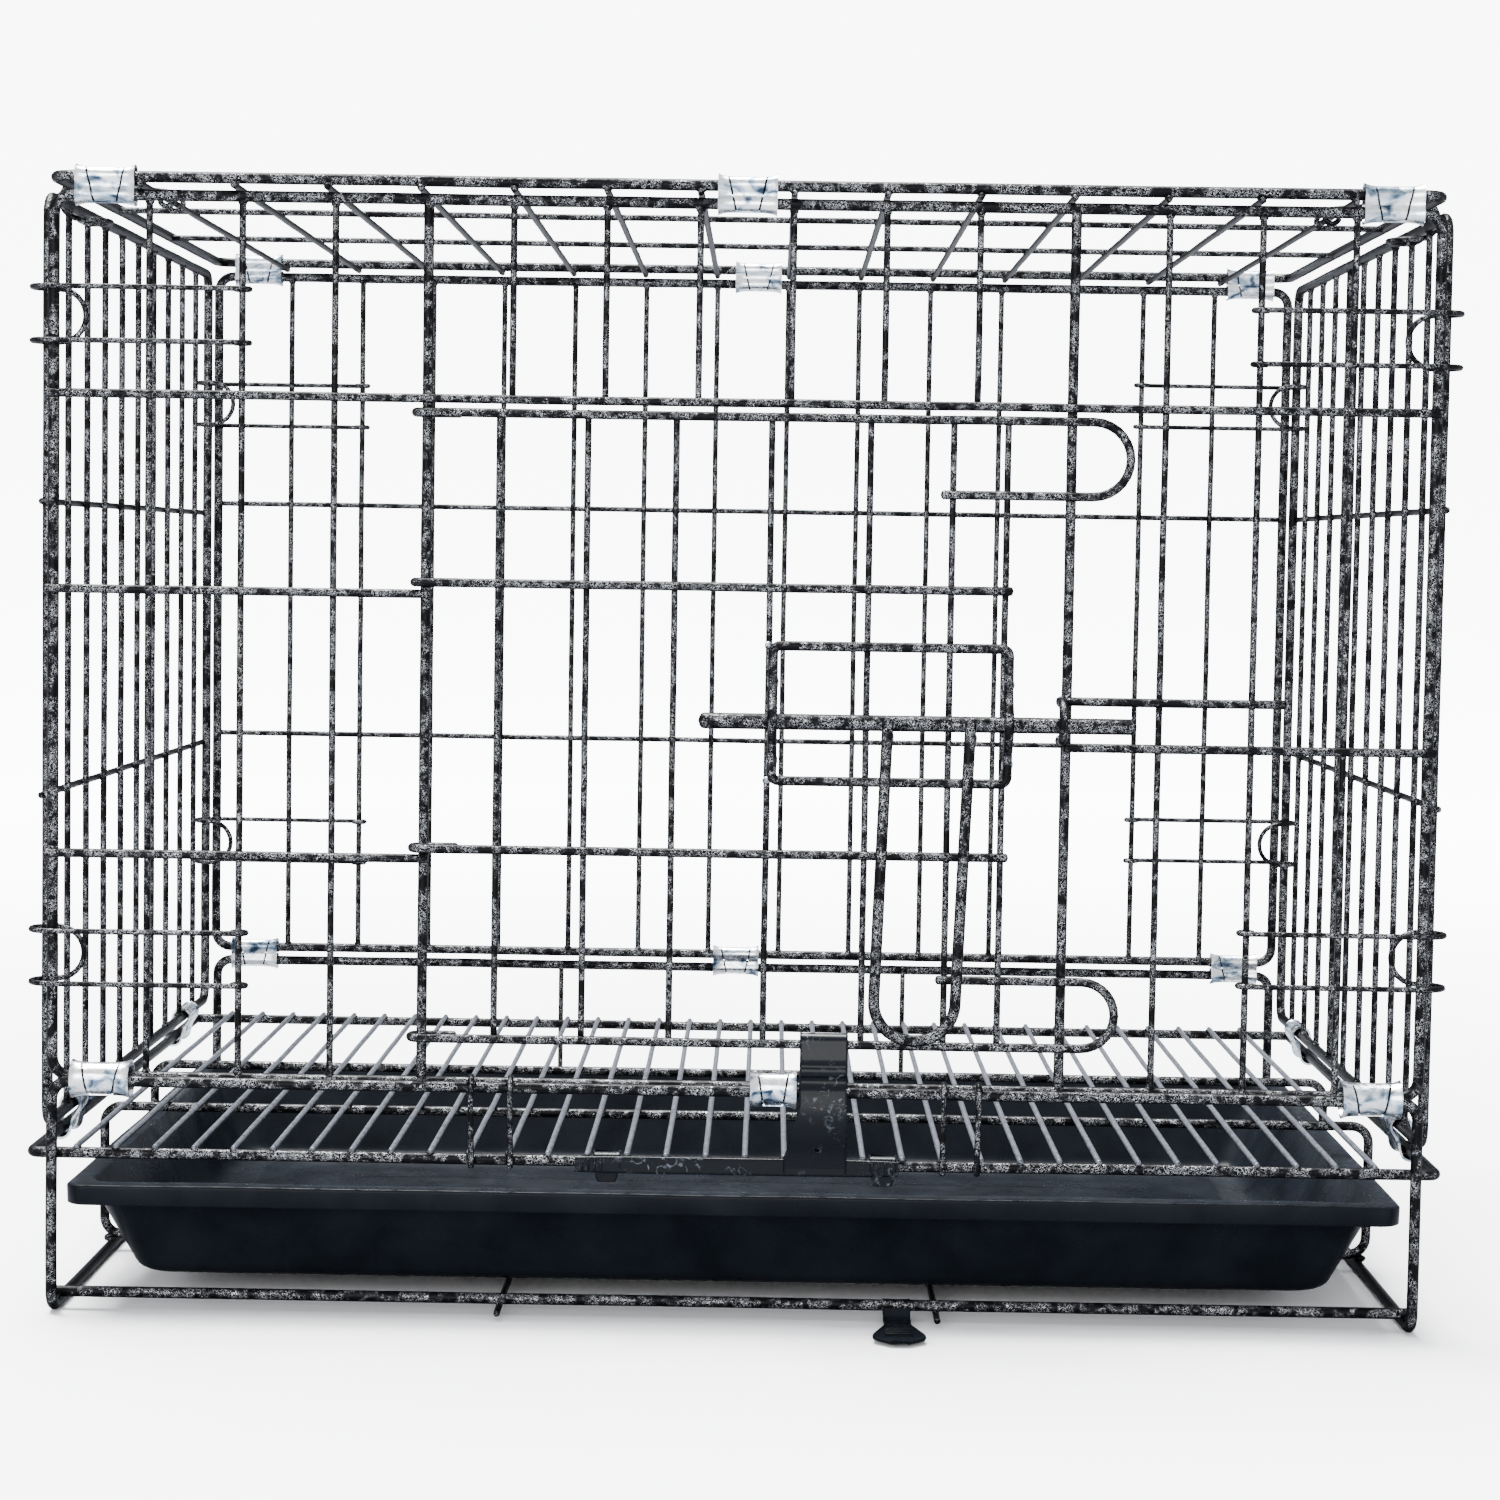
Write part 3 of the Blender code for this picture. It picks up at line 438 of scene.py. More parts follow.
# The dark and blue zinc colours are painted reflections of dark surroundings and the white one is a painted
# highlight; the milky one is the plate's own.
ZINC_DARK_REFLECTION, ZINC_BLUE_REFLECTION = (0.03, 0.05, 0.08), (0.24, 0.32, 0.42)
ZINC_MILKY, ZINC_WHITE_HIGHLIGHT = (0.70, 0.79, 0.87), (0.97, 0.98, 1.0)
PLASTIC_DARK, PLASTIC_RUBBED = (0.0044, 0.0056, 0.0078), (0.0080, 0.0100, 0.0136)
WELD_DARK, WELD_BRIGHT = (0.01, 0.01, 0.012), (0.55, 0.60, 0.66)


def hammered_coat():
    """Black hammertone powder coat: a fine net of silvery veins floated up through a crinkled black, shown
    only where a wire faces the camera, so that they also serve as painted glints of the front light.
    """
    finish = Finish("hammered_coat_fine")
    veins = finish.noise(980, 1.0, 1.1)
    veins = finish.math("ABSOLUTE", finish.math("SUBTRACT", veins, 0.5), 0.0)
    veins = finish.ramp(veins, [(0.0, 1.0), (0.010, 0.9), (0.022, 0.0)])
    crowding = finish.ramp(finish.noise(170, 2.0, 0.5), [(0.36, 0.12), (0.56, 1.0)])
    # Silvery flecks only where the wire faces the camera: painted glints of the front light on the crinkled
    # coat.
    facing = finish.nodes.new("ShaderNodeLayerWeight")
    facing.inputs["Blend"].default_value = 0.5
    middle = finish.ramp(facing.outputs["Facing"], [(0.26, 1.0), (0.62, 0.0)])
    vein_and_glint = finish.math("MULTIPLY", finish.math("MULTIPLY", veins, crowding), middle)
    colour = finish.ramp(vein_and_glint, [(0.0, COAT_BLACK), (0.30, COAT_GREY), (1.0, COAT_VEIN_AND_GLINT)])
    metal = finish.ramp(vein_and_glint, [(0.0, 0.0), (1.0, 0.6)])
    finish.bump(finish.noise(900, 2.0, 0.8), 0.5, 0.0004)
    return finish.drive(Base_Color=colour, Metallic=metal, Roughness=0.34, IOR=1.16)


def toplit_grate_coat():
    """The same coat on the thin floor wires in a smooth, lighter dull grey: painted light from above on
    their tops.
    """
    finish = Finish("toplit_grate_coat_fine")
    colour = finish.ramp(finish.noise(420, 3.0, 0.6), [(0.34, TOPLIT_GRATE_DARK), (0.62, TOPLIT_GRATE_LIGHT)])
    finish.bump(finish.noise(900, 2.0, 0.6), 0.3, 0.0003)
    return finish.drive(Base_Color=colour, Metallic=0.55, Roughness=0.36)


def zinc_plate():
    """Bright zinc plate with a bluish cast and fine rolling marks; its blotches run from painted dark blue
    reflections through the plate's own milky tone to a painted white highlight.
    """
    finish = Finish("zinc_plate_fine")
    stops = [(0.33, ZINC_DARK_REFLECTION), (0.41, ZINC_BLUE_REFLECTION), (0.48, ZINC_MILKY), (0.56, ZINC_WHITE_HIGHLIGHT)]
    colour = finish.ramp(finish.noise(150, 2.5, 0.9, stretch=(0.6, 1, 1)), stops)
    gloss = finish.ramp(finish.noise(420, 3.0, 0.3), [(0.3, 0.16), (0.7, 0.36)])
    finish.bump(finish.noise(380, 3.0, 0.4, stretch=(0.25, 1, 1)), 0.35, 0.0005)
    return finish.drive(Base_Color=colour, Metallic=1.0, Roughness=gloss)


def black_plastic():
    """Semi-gloss black polypropylene with a faint skin texture, rubbed a little on its faces."""
    finish = Finish("black_plastic_fine")
    colour = finish.ramp(finish.noise(35, 3.0, 0.3), [(0.35, PLASTIC_DARK), (0.7, PLASTIC_RUBBED)])
    gloss = finish.ramp(finish.noise(60, 4.0, 0.5), [(0.35, 0.24), (0.7, 0.38)])
    finish.bump(finish.noise(900, 2.0), 0.05, 0.0003)
    return finish.drive(Base_Color=colour, Metallic=0.0, Roughness=gloss, IOR=1.14)


def scuffed_plastic():
    """The strap's softer plastic, with whitish stress marks where it has been bent."""
    finish = Finish("scuffed_plastic_fine")
    scuff = finish.ramp(finish.noise(260, 4.0, 1.6), [(0.56, 0.0), (0.68, 1.0)])
    where = finish.ramp(finish.noise(55, 2.0, 0.4), [(0.45, 0.0), (0.62, 1.0)])
    marks = finish.math("MULTIPLY", scuff, where)
    colour = finish.ramp(marks, [(0.0, (0.0020, 0.0030, 0.0050)), (1.0, (0.10, 0.115, 0.14))])
    finish.bump(finish.noise(320, 3.0, 0.5), 0.12, 0.0004)
    return finish.drive(Base_Color=colour, Metallic=0.0, Roughness=0.26, IOR=1.24)


def weld_metal():
    """Bare, bright weld where the coat has burnt off."""
    finish = Finish("weld_metal_fine")
    colour = finish.ramp(finish.noise(700, 3.0, 1.0), [(0.40, WELD_DARK), (0.56, WELD_BRIGHT)])
    gloss = finish.ramp(finish.noise(900, 2.0), [(0.3, 0.25), (0.7, 0.5)])
    finish.bump(finish.noise(900, 2.0, 0.5), 0.6, 0.0005)
    return finish.drive(Base_Color=colour, Metallic=0.9, Roughness=gloss)


FINISHES = {"hammered_coat": hammered_coat(), "zinc_plate": zinc_plate(), "black_plastic": black_plastic()}
BARE_WELD = weld_metal()
TOPLIT_GRATE_COAT = toplit_grate_coat()
SCUFFED_PLASTIC = scuffed_plastic()


# ---------------------------------------------------------------- base
def base():
    top, low = BASE_TOP_Z, RAIL_Z
    corners = [
        (-LEG_X, 0, top),
        (LEG_X, 0, top),
        (LEG_X, 0, low),
        (LEG_X, BACK_Y, low),
        (LEG_X, BACK_Y, top),
        (-LEG_X, BACK_Y, top),
        (-LEG_X, BACK_Y, low),
        (-LEG_X, 0, low),
    ]
    route = wavered(bent(corners, BEND, closed=True), closed=True)
    wires("base_frame_wire", [route], FRAME_R, node="base_frame", closed=True, sides=16)
    end = LEG_X + FRAME_R * 0.4
    bar = wavered([(-end, FRONT_BAR_Y, FRONT_BAR_Z), (end, FRONT_BAR_Y, FRONT_BAR_Z)])
    wires("front_bottom_wire", [bar], FRAME_R, node="front_bottom_bar", sides=16)
    for side, x in RUNNERS.items():
        route = [(x, -FRAME_R / 2, RUNNER_Z), (x, STRUT_Y, RUNNER_Z), (x, STRUT_Y, BASE_TOP_Z + RUNNER_R)]
        wires(f"runner_wire_{side}", [wavered(bent(route, BEND))], RUNNER_R, node=f"tray_runner_{side}")
    for where, y in zip(("front", "rear"), SUPPORT_DEPTHS):
        corners = [
            (-SUPPORT_X, y, SUPPORT_BOTTOM_Z),
            (SUPPORT_X, y, SUPPORT_BOTTOM_Z),
            (SUPPORT_X, y, SUPPORT_TOP_Z),
            (-SUPPORT_X, y, SUPPORT_TOP_Z),
        ]
        route = wavered(bent(corners, BEND, closed=True), closed=True)
        wires(f"support_wire_{where}", [route], SUPPORT_R, node=f"grate_support_{where}", closed=True)
    for k, x in enumerate(HANGERS):
        off = beside(FRAME_R, HANGER_R)
        over = arc((x, 0, BASE_TOP_Z), (x, 0, BASE_TOP_Z + off), (1, 0, 0), math.pi / 2, 5)
        foot = PANEL_Y - off
        route = [(x, off * 0.25, BASE_TOP_Z + off), *over, (x, -off, BASE_TOP_Z - 0.004)]
        route += [(x, foot, GRATE_Z + 0.004), (x, foot, GRATE_Z - FRAME_R)]
        wires(f"hanger_wire_{k + 1}", [route], HANGER_R, node=f"grate_hanger_{k + 1}", sides=10)
    bm = bmesh.new()
    for x in HANGERS:
        bead(bm, (x, -FRAME_R * 0.6, BASE_TOP_Z + FRAME_R * 0.7), 0.0021, (1.1, 1, 0.8))
        bead(bm, (x, PANEL_Y - FRAME_R * 0.9, GRATE_Z), 0.0020, (1.1, 1, 1.2))
    for x in RUNNERS.values():
        bead(bm, (x, FRONT_BAR_Y, FRONT_BAR_Z - FRAME_R * 0.7), 0.0018)
        bead(bm, (x, STRUT_Y + RUNNER_R, BASE_TOP_Z), 0.0021)
        for y in SUPPORT_DEPTHS:
            bead(bm, (x, y, RUNNER_Z + RUNNER_R), 0.0017)
    for side in (-1, 1):
        bead(bm, (side * LEG_X, FRONT_BAR_Y, FRONT_BAR_Z - FRAME_R * 0.8), 0.0027, (1, 1.2, 0.8))
        for y in SUPPORT_DEPTHS:
            bead(bm, (side * (LEG_X + 0.001), y, SUPPORT_BOTTOM_Z - SUPPORT_R * 0.8), 0.0025, (1.1, 1, 0.8))
    place("base_welds", bm, "crate", "hammered_coat")


def welds_at(bm, points, size, squash=(1, 1, 1)):
    for point in points:
        bead(bm, point, size, squash)


def grate():
    corners = [
        (-GRATE_X, PANEL_Y, GRATE_Z),
        (GRATE_X, PANEL_Y, GRATE_Z),
        (GRATE_X, GRATE_BACK_Y, GRATE_Z),
        (-GRATE_X, GRATE_BACK_Y, GRATE_Z),
    ]
    bm = bmesh.new()
    tube(bm, wavered(bent(corners, BEND / 2, closed=True), closed=True), FRAME_R, sides=16, closed=True)
    first = GRATE_MIDDLE_X - GRATE_PITCH * (GRATE_WIRES - 1) / 2
    overhang = FRAME_R * 0.45
    thin = bmesh.new()
    for k in range(GRATE_WIRES):
        x = first + GRATE_PITCH * k
        ends = [(x, PANEL_Y - overhang, GRATE_WIRE_Z), (x, GRATE_BACK_Y + overhang, GRATE_WIRE_Z)]
        tube(thin, wavered(ends), GRATE_R)
        for y in (PANEL_Y, GRATE_BACK_Y):
            bead(bm, (x, y, GRATE_Z + FRAME_R * 0.75), GRATE_R * 1.45, (1.25, 1.1, 0.75))
    place("floor_grate_frame", bm, "crate", "hammered_coat", "floor_grate")
    wires_made = place("floor_grate_wires", thin, "crate", "hammered_coat", "floor_grate")
    # The floor wires take the lighter copy of the coat: painted light from above.
    wires_made.data.materials[0] = TOPLIT_GRATE_COAT


# ---------------------------------------------------------------- panels
def upright_loop(bm, y, low, high):
    corners = [(-PANEL_X, y, low), (PANEL_X, y, low), (PANEL_X, y, high), (-PANEL_X, y, high)]
    tube(bm, wavered(bent(corners, BEND, closed=True), closed=True), FRAME_R, sides=16, closed=True)


def even_rods(pitch):
    """Fourteen places across the width, on either side of the middle."""
    return [side * pitch * (k + 0.5) for k in range(7) for side in (-1, 1)]


def front():
    bm = bmesh.new()
    upright_loop(bm, PANEL_Y, PANEL_BOTTOM_Z, PANEL_TOP_Z)
    tall = [(side * x, PANEL_BOTTOM_Z) for side, row in FRONT_RODS.items() for x in row]
    short = [(side * x * ROD_PITCH, LINTEL_Z) for x in (0.5, 1.5, 2.5) for side in (-1, 1)]
    for x, z in tall + short:
        tube(bm, wavered([(x, PANEL_Y, z), (x, PANEL_Y, PANEL_TOP_Z)]), ROD_R)
        bead(bm, (x, PANEL_Y, PANEL_TOP_Z - FRAME_R * 0.9), ROD_R * 1.3, (1.1, 1, 1.1))
        if z == PANEL_BOTTOM_Z:
            bead(bm, (x, PANEL_Y, z + FRAME_R * 0.9), ROD_R * 1.3, (1.1, 1, 1.1))
    posts = (HINGE_POST_X, LATCH_POST_X)
    for x in posts:
        tube(bm, wavered([(x, PANEL_Y, PANEL_BOTTOM_Z), (x, PANEL_Y, PANEL_TOP_Z)]), POST_R, sides=16)
    bar_y = PANEL_Y - welded(BAR_R, ROD_R)
    edge = PANEL_X + FRAME_R
    bars = [(-edge, edge, LINTEL_Z)]
    bars += [(-edge, HINGE_POST_X + POST_R / 2, z) for z in LEFT_BAR_HEIGHTS]
    start = EYE_X + beside(EYE_R)
    bars += [(start, *RIGHT_SHORT_BAR), (start, edge, RIGHT_BAR_Z)]
    uprights = [x for x, _ in tall] + [*posts, -PANEL_X, PANEL_X]
    for a, b, z in bars:
        tube(bm, wavered([(a, bar_y, z), (b, bar_y, z)]), BAR_R)
        crossed = uprights + [x for x, _ in short] if z == LINTEL_Z else uprights
        welds_at(bm, [(x, (bar_y + PANEL_Y) / 2, z) for x in crossed if a - 0.001 < x < b + 0.001], 0.0018)
    place("front_panel_wires", bm, "crate", "hammered_coat", "front_panel")


def back():
    bm = bmesh.new()
    upright_loop(bm, BACK_Y, BACK_BOTTOM_Z, PANEL_TOP_Z)
    bar_y = BACK_Y + welded(ROD_R, ROD_R)
    for x in even_rods(BACK_ROD_PITCH):
        tube(bm, wavered([(x, BACK_Y, BACK_BOTTOM_Z), (x, BACK_Y, PANEL_TOP_Z)]), ROD_R)
        heights = (BACK_BOTTOM_Z + FRAME_R * 0.8, PANEL_TOP_Z - FRAME_R * 0.8)
        welds_at(bm, [(x, BACK_Y, z) for z in heights], 0.002)
        welds_at(bm, [(x, (bar_y + BACK_Y) / 2, z) for z in MID_BAR_HEIGHTS["back"]], 0.0017)
    edge = PANEL_X + FRAME_R / 2
    for z in MID_BAR_HEIGHTS["back"]:
        tube(bm, wavered([(-edge, bar_y, z), (edge, bar_y, z)]), ROD_R)
    place("back_panel_wires", bm, "crate", "hammered_coat", "back_panel")


def roof():
    plan = ((-ROOF_X, PANEL_Y), (ROOF_X, PANEL_Y), (ROOF_X, BACK_Y), (-ROOF_X, BACK_Y))
    corners = [(x, y, ROOF_Z) for x, y in plan]
    bm = bmesh.new()
    tube(bm, wavered(bent(corners, BEND, closed=True), closed=True), FRAME_R, sides=16, closed=True)
    bar_z = ROOF_ROD_Z + welded(ROD_R, ROD_R)
    for x in even_rods(ROD_PITCH):
        past = FRAME_R + ROD_R * 0.5
        route = [(x, PANEL_Y - past, ROOF_ROD_Z), (x, BACK_Y + past, ROOF_ROD_Z)]
        tube(bm, wavered(route), ROD_R)
        weld_z = (ROOF_Z + ROOF_ROD_Z) / 2 - 0.0003
        welds_at(bm, [(x, y, weld_z) for y in (PANEL_Y, BACK_Y)], 0.0019, (1.2, 1, 0.8))
        welds_at(bm, [(x, y, (bar_z + ROOF_ROD_Z) / 2) for y in ROOF_BAR_DEPTHS], 0.0017)
    for y in ROOF_BAR_DEPTHS:
        tube(bm, wavered([(-ROOF_X, y, bar_z), (ROOF_X, y, bar_z)]), ROD_R)
    place("roof_panel_wires", bm, "crate", "hammered_coat", "roof_panel")


def side_wires(side, sign):
    x = sign * SIDE_X
    low, high = SIDE_BOTTOM_Z, PANEL_TOP_Z
    near, far = SIDE_FRONT_Y, SIDE_BACK_Y
    bm = bmesh.new()
    corners = [(x, near, low), (x, far, low), (x, far, high), (x, near, high)]
    tube(bm, wavered(bent(corners, BEND, closed=True), closed=True), FRAME_R, sides=16, closed=True)
    bar_x = x + sign * welded(ROD_R, ROD_R)
    for k in range(1, 10):
        y = near + SIDE_PITCH * k
        tube(bm, wavered([(x, y, low), (x, y, high)]), ROD_R)
        welds_at(bm, [(x, y, low + FRAME_R * 0.8), (x, y, high - FRAME_R * 0.8)], 0.002)
        welds_at(bm, [((x + bar_x) / 2, y, z) for z in MID_BAR_HEIGHTS[side]], 0.0017)
    for z in MID_BAR_HEIGHTS[side]:
        tube(bm, wavered([(bar_x, near - FRAME_R * 0.8, z), (bar_x, far + FRAME_R * 0.8, z)]), ROD_R)
        welds_at(bm, [((x + bar_x) / 2, y, z) for y in (near, far)], 0.0021)
    place(f"{side}_side_wires", bm, f"{side}_side", "hammered_coat", f"{side}_side_panel")


# ---------------------------------------------------------------- hooks and clips
def hook(name, origin, out, inward, rod, lip, edge):
    """A hairpin of spring wire whose legs lie outside a panel and whose bend lies inside the next one."""
    out, inward = Vector(out), Vector(inward)
    bend_r = (lip + HOOK_LEG) / 2
    turn_at = max(edge, SIDE_X) + HOOK_LEG - math.sqrt(bend_r**2 - ((lip - HOOK_LEG) / 2) ** 2)
    across = Vector((0, 1, 0)) if inward.z else Vector((0, 0, 1))
    rod = Vector(rod)
    curl = arc(rod, rod - Vector((0, HOOK_CURL, 0)), (0, 0, -1), math.radians(250), 12)
    round_frames = arc((turn_at, (lip - HOOK_LEG) / 2, 0), (turn_at, -HOOK_LEG, 0), (0, 0, 1), math.pi, 10)
    half = [*reversed(curl), *round_frames]
    bend = arc((turn_at, lip, 0), (turn_at, lip, HOOK_HALF), (0, -1, 0), math.pi, 12)
    local = [Vector((p.x, p.y, HOOK_HALF)) for p in half] + bend[1:-1]
    local += [Vector((p.x, p.y, -HOOK_HALF)) for p in reversed(half)]
    route = [Vector(origin) + out * p.x + inward * p.y + across * p.z for p in local]
    wires(f"{name}_wire", [route], HOOK_R, node=name, sides=10)


def hooks():
    rows = {"front": (PANEL_Y, 1, SIDE_FRONT_Y - PANEL_Y), "back": (BACK_Y, -1, BACK_Y - SIDE_BACK_Y)}
    for row, (y, inward, to_side) in rows.items():
        for side, sign in (("left", -1), ("right", 1)):
            x = FRONT_RODS[sign][1] if row == "front" else 5.5 * BACK_ROD_PITCH
            for level, z in HOOK_HEIGHTS[f"{row}_{side}"].items():
                lip = to_side + HOOK_LEG + GAP
                name = f"hook_{row}_{side}_{level}"
                hook(name, (0, y, z), (sign, 0, 0), (0, inward, 0), (x, 0, 0), lip, PANEL_X)
    origin = (0, SIDE_FRONT_Y + ROOF_HOOK_BAY * SIDE_PITCH, ROOF_Z)
    lip = ROOF_Z - PANEL_TOP_Z + HOOK_LEG + 2 * GAP
    rod = (6.5 * ROD_PITCH, ROOF_Z - ROOF_ROD_Z, 0)
    for side, sign in (("left", -1), ("right", 1)):
        hook(f"hook_roof_{side}", origin, (sign, 0, 0), (0, 0, -1), rod, lip, ROOF_X)


CLIP_ROWS = 44  # round the clip
TONGUE_ROWS = (13, 31)  # the rows between which the tongue is cut free
TONGUE_HALF = (0.0078, 0.0044)  # its half width at the root and at the tip
SLIT = 0.0009
FLARE = 0.0013
PINCH = 0.0010


def clip(name, first, second, middle, axis, length=CLIP_LENGTH, slack=0.0):
    """A rolled sheet round two wires: belled ends, a pinched waist and a tapered tongue at its front."""
    axis, first, second = Vector(axis), Vector(first), Vector(second)
    span = (second - first).length
    along = (second - first) / span
    out = axis.cross(along)
    radius = SPREAD * FRAME_R + GAP + CLIP_WALL / 2 + slack
    halfway = (first + second) / 2
    path = math.pi * radius
    girth = 2 * path + 2 * span

    def section(s, swell):
        """A point on the rolled sheet at distance s from the middle of its front, towards the first wire."""
        s %= girth
        if s < span / 2:
            base, turn = halfway - along * s, 0.0
        elif s < span / 2 + path:
            base, turn = first, (s - span / 2) / radius
        elif s < span * 1.5 + path:
            base, turn = first + along * (s - span / 2 - path), math.pi
        elif s < span * 1.5 + 2 * path:
            base, turn = second, math.pi + (s - span * 1.5 - path) / radius
        else:
            base, turn = second - along * (s - span * 1.5 - 2 * path), 0.0
        facing = out * math.cos(turn) - along * math.sin(turn)
        waist = 0 if slack else PINCH * math.exp(-(((base - halfway).length / (0.34 * span)) ** 2))
        return base + facing * (radius + swell - waist)

    flank, inner_parts = 8, 8
    root, tip = TONGUE_ROWS
    half = length / 2
    scale = length / CLIP_LENGTH

    def columns(k):
        """Places along the clip for one row: flank, slit, tongue, slit, flank."""
        share = min(1, max(0, (k - root) / (tip - root)))
        width = scale * (TONGUE_HALF[0] + (TONGUE_HALF[1] - TONGUE_HALF[0]) * share)
        right = [width + SLIT + (half - width - SLIT) * n / flank for n in range(flank + 1)]
        tongue = [width * (2 * n / inner_parts - 1) for n in range(inner_parts + 1)]
        return [-x for x in reversed(right)] + tongue + right

    count = len(columns(0))
    grids = []
    bm = bmesh.new()
    for offset in (CLIP_WALL / 2, -CLIP_WALL / 2):
        grid = []
        for k in range(CLIP_ROWS + 1):
            s = (girth - 0.0004) * (k / CLIP_ROWS - 0.5)
            free = min(1, max(0, (k - root) / (tip - root))) if root <= k <= tip else 0
            row = []
            for c, u in enumerate(columns(k)):
                on_tongue = flank < c < count - 1 - flank
                swell = FLARE * abs(u / half) ** 5 + offset - (0.0004 * free if on_tongue else 0)
                row.append(bm.verts.new(section(s, swell) + axis * (middle + u)))
            grid.append(row)
        grids.append(grid)
    cells = {
        (k, c)
        for k in range(CLIP_ROWS)
        for c in range(count - 1)
        if not (root <= k < tip and c in (flank, count - 2 - flank))
        and not (k == tip and flank <= c <= count - 2 - flank)
    }
    borders = {}
    for k, c in cells:
        ring = ((k, c), (k + 1, c), (k + 1, c + 1), (k, c + 1))
        for grid in grids:
            bm.faces.new([grid[a][b] for a, b in ring])
        for n in range(4):
            edge = (ring[n], ring[(n + 1) % 4])
            borders[edge] = borders.get(edge[::-1]) is None
            if edge[::-1] in borders:
                borders[edge[::-1]] = False
    outer, inner = grids
    for (a, b), lone in borders.items():
        if lone:
            bm.faces.new((outer[a[0]][a[1]], outer[b[0]][b[1]], inner[b[0]][b[1]], inner[a[0]][a[1]]))
    loose = [v for v in bm.verts if not v.link_faces]
    bmesh.ops.delete(bm, geom=loose, context="VERTS")
    place(f"{name}_sheet", bm, "crate", "zinc_plate", name, sharp=35)


def clips():
    left, right = -0.2752, 0.2762
    rows = {
        "roof_front": ((0, PANEL_Y, PANEL_TOP_Z), (0, PANEL_Y, ROOF_Z), 0.0),
        "roof_back": ((0, BACK_Y, PANEL_TOP_Z), (0, BACK_Y, ROOF_Z), 0.003),
        "base_back": ((0, BACK_Y, BASE_TOP_Z), (0, BACK_Y, BACK_BOTTOM_Z), -0.004),
    }
    for row, (first, second, middle) in rows.items():
        for side, x in (("left", left), ("middle", middle), ("right", right)):
            clip(f"clip_{row}_{side}", first, second, x, (1, 0, 0))
    base, panel = Vector((0, 0, BASE_TOP_Z)), Vector((0, PANEL_Y, PANEL_BOTTOM_Z))
    half_seam = Vector((0, 0, 0.0004))
    halfway = (base + panel) / 2
    ends = (halfway - half_seam, halfway + half_seam)
    slack = (panel - base).length / 2
    off_centre = (0.0170, MIDDLE_BASE_CLIP_LENGTH)
    lengths = {"left": (left, CLIP_LENGTH), "middle": off_centre, "right": (right, CLIP_LENGTH)}
    for side, (x, length) in lengths.items():
        clip(f"clip_base_front_{side}", *ends, x, (1, 0, 0), length, slack)
    for side, sign in (("left", -1), ("right", 1)):
        rail = (sign * GRATE_X, 0, GRATE_Z)
        panel = (sign * SIDE_X, 0, SIDE_BOTTOM_Z)
        for end, bay in (("front", 1.5), ("rear", 8.5)):
            clip(f"clip_side_{side}_{end}", rail, panel, SIDE_FRONT_Y + bay * SIDE_PITCH, (0, 1, 0))


# ---------------------------------------------------------------- door and bolt
def door_bar(z, end, turn=None, back_to=None):
    """A door bar: tail and curl round the post, a straight run, and a return bend if it has one."""
    post = HINGE_POST_X
    curl = arc((post, PANEL_Y, z), (post, PANEL_Y + CURL, z), (0, 0, 1), math.pi, 12)
    route = [(post + CURL_TAIL, PANEL_Y + CURL, z), *curl]
    start = (post + 0.012, DOOR_Y, z)
    if turn is None:
        return [*route, *wavered([start, (end, DOOR_Y, z)])]
    way = 1 if turn > 0 else -1
    bend = arc((end, DOOR_Y, z + turn), (end, DOOR_Y, z), (0, -way, 0), math.pi, 14)
    return [*route, *wavered([start, bend[0]]), *bend[1:], (back_to, DOOR_Y, z + 2 * turn)]


def door():
    bars = [
        door_bar(DOOR_TOP_Z, *DOOR_TOP_LOOP),
        door_bar(DOOR_BOTTOM_Z, *DOOR_BOTTOM_LOOP),
        *[door_bar(z, DOOR_MID_END) for z in DOOR_MID_HEIGHTS],
    ]
    ends = (DOOR_BOTTOM_Z - BAR_R * 0.6, DOOR_TOP_Z + BAR_R * 0.6)
    bm = bmesh.new()
    for route in bars:
        tube(bm, route, BAR_R, sides=14)
    between = (DOOR_Y + DOOR_ROD_Y) / 2
    for x in DOOR_RODS:
        tube(bm, wavered([(x, DOOR_ROD_Y, z) for z in ends]), ROD_R)
        welds_at(bm, [(x, between, z) for z in (DOOR_BOTTOM_Z, *DOOR_MID_HEIGHTS, DOOR_TOP_Z)], 0.0018)
    for x in DOOR_RODS[-2:]:
        ends = [DOOR_TOP_Z + 2 * DOOR_TOP_LOOP[1], DOOR_BOTTOM_Z + 2 * DOOR_BOTTOM_LOOP[1]]
        welds_at(bm, [(x, between, z) for z in ends], 0.0018)
    place("door_wires", bm, "door", "hammered_coat", "door_panel")
    guide()


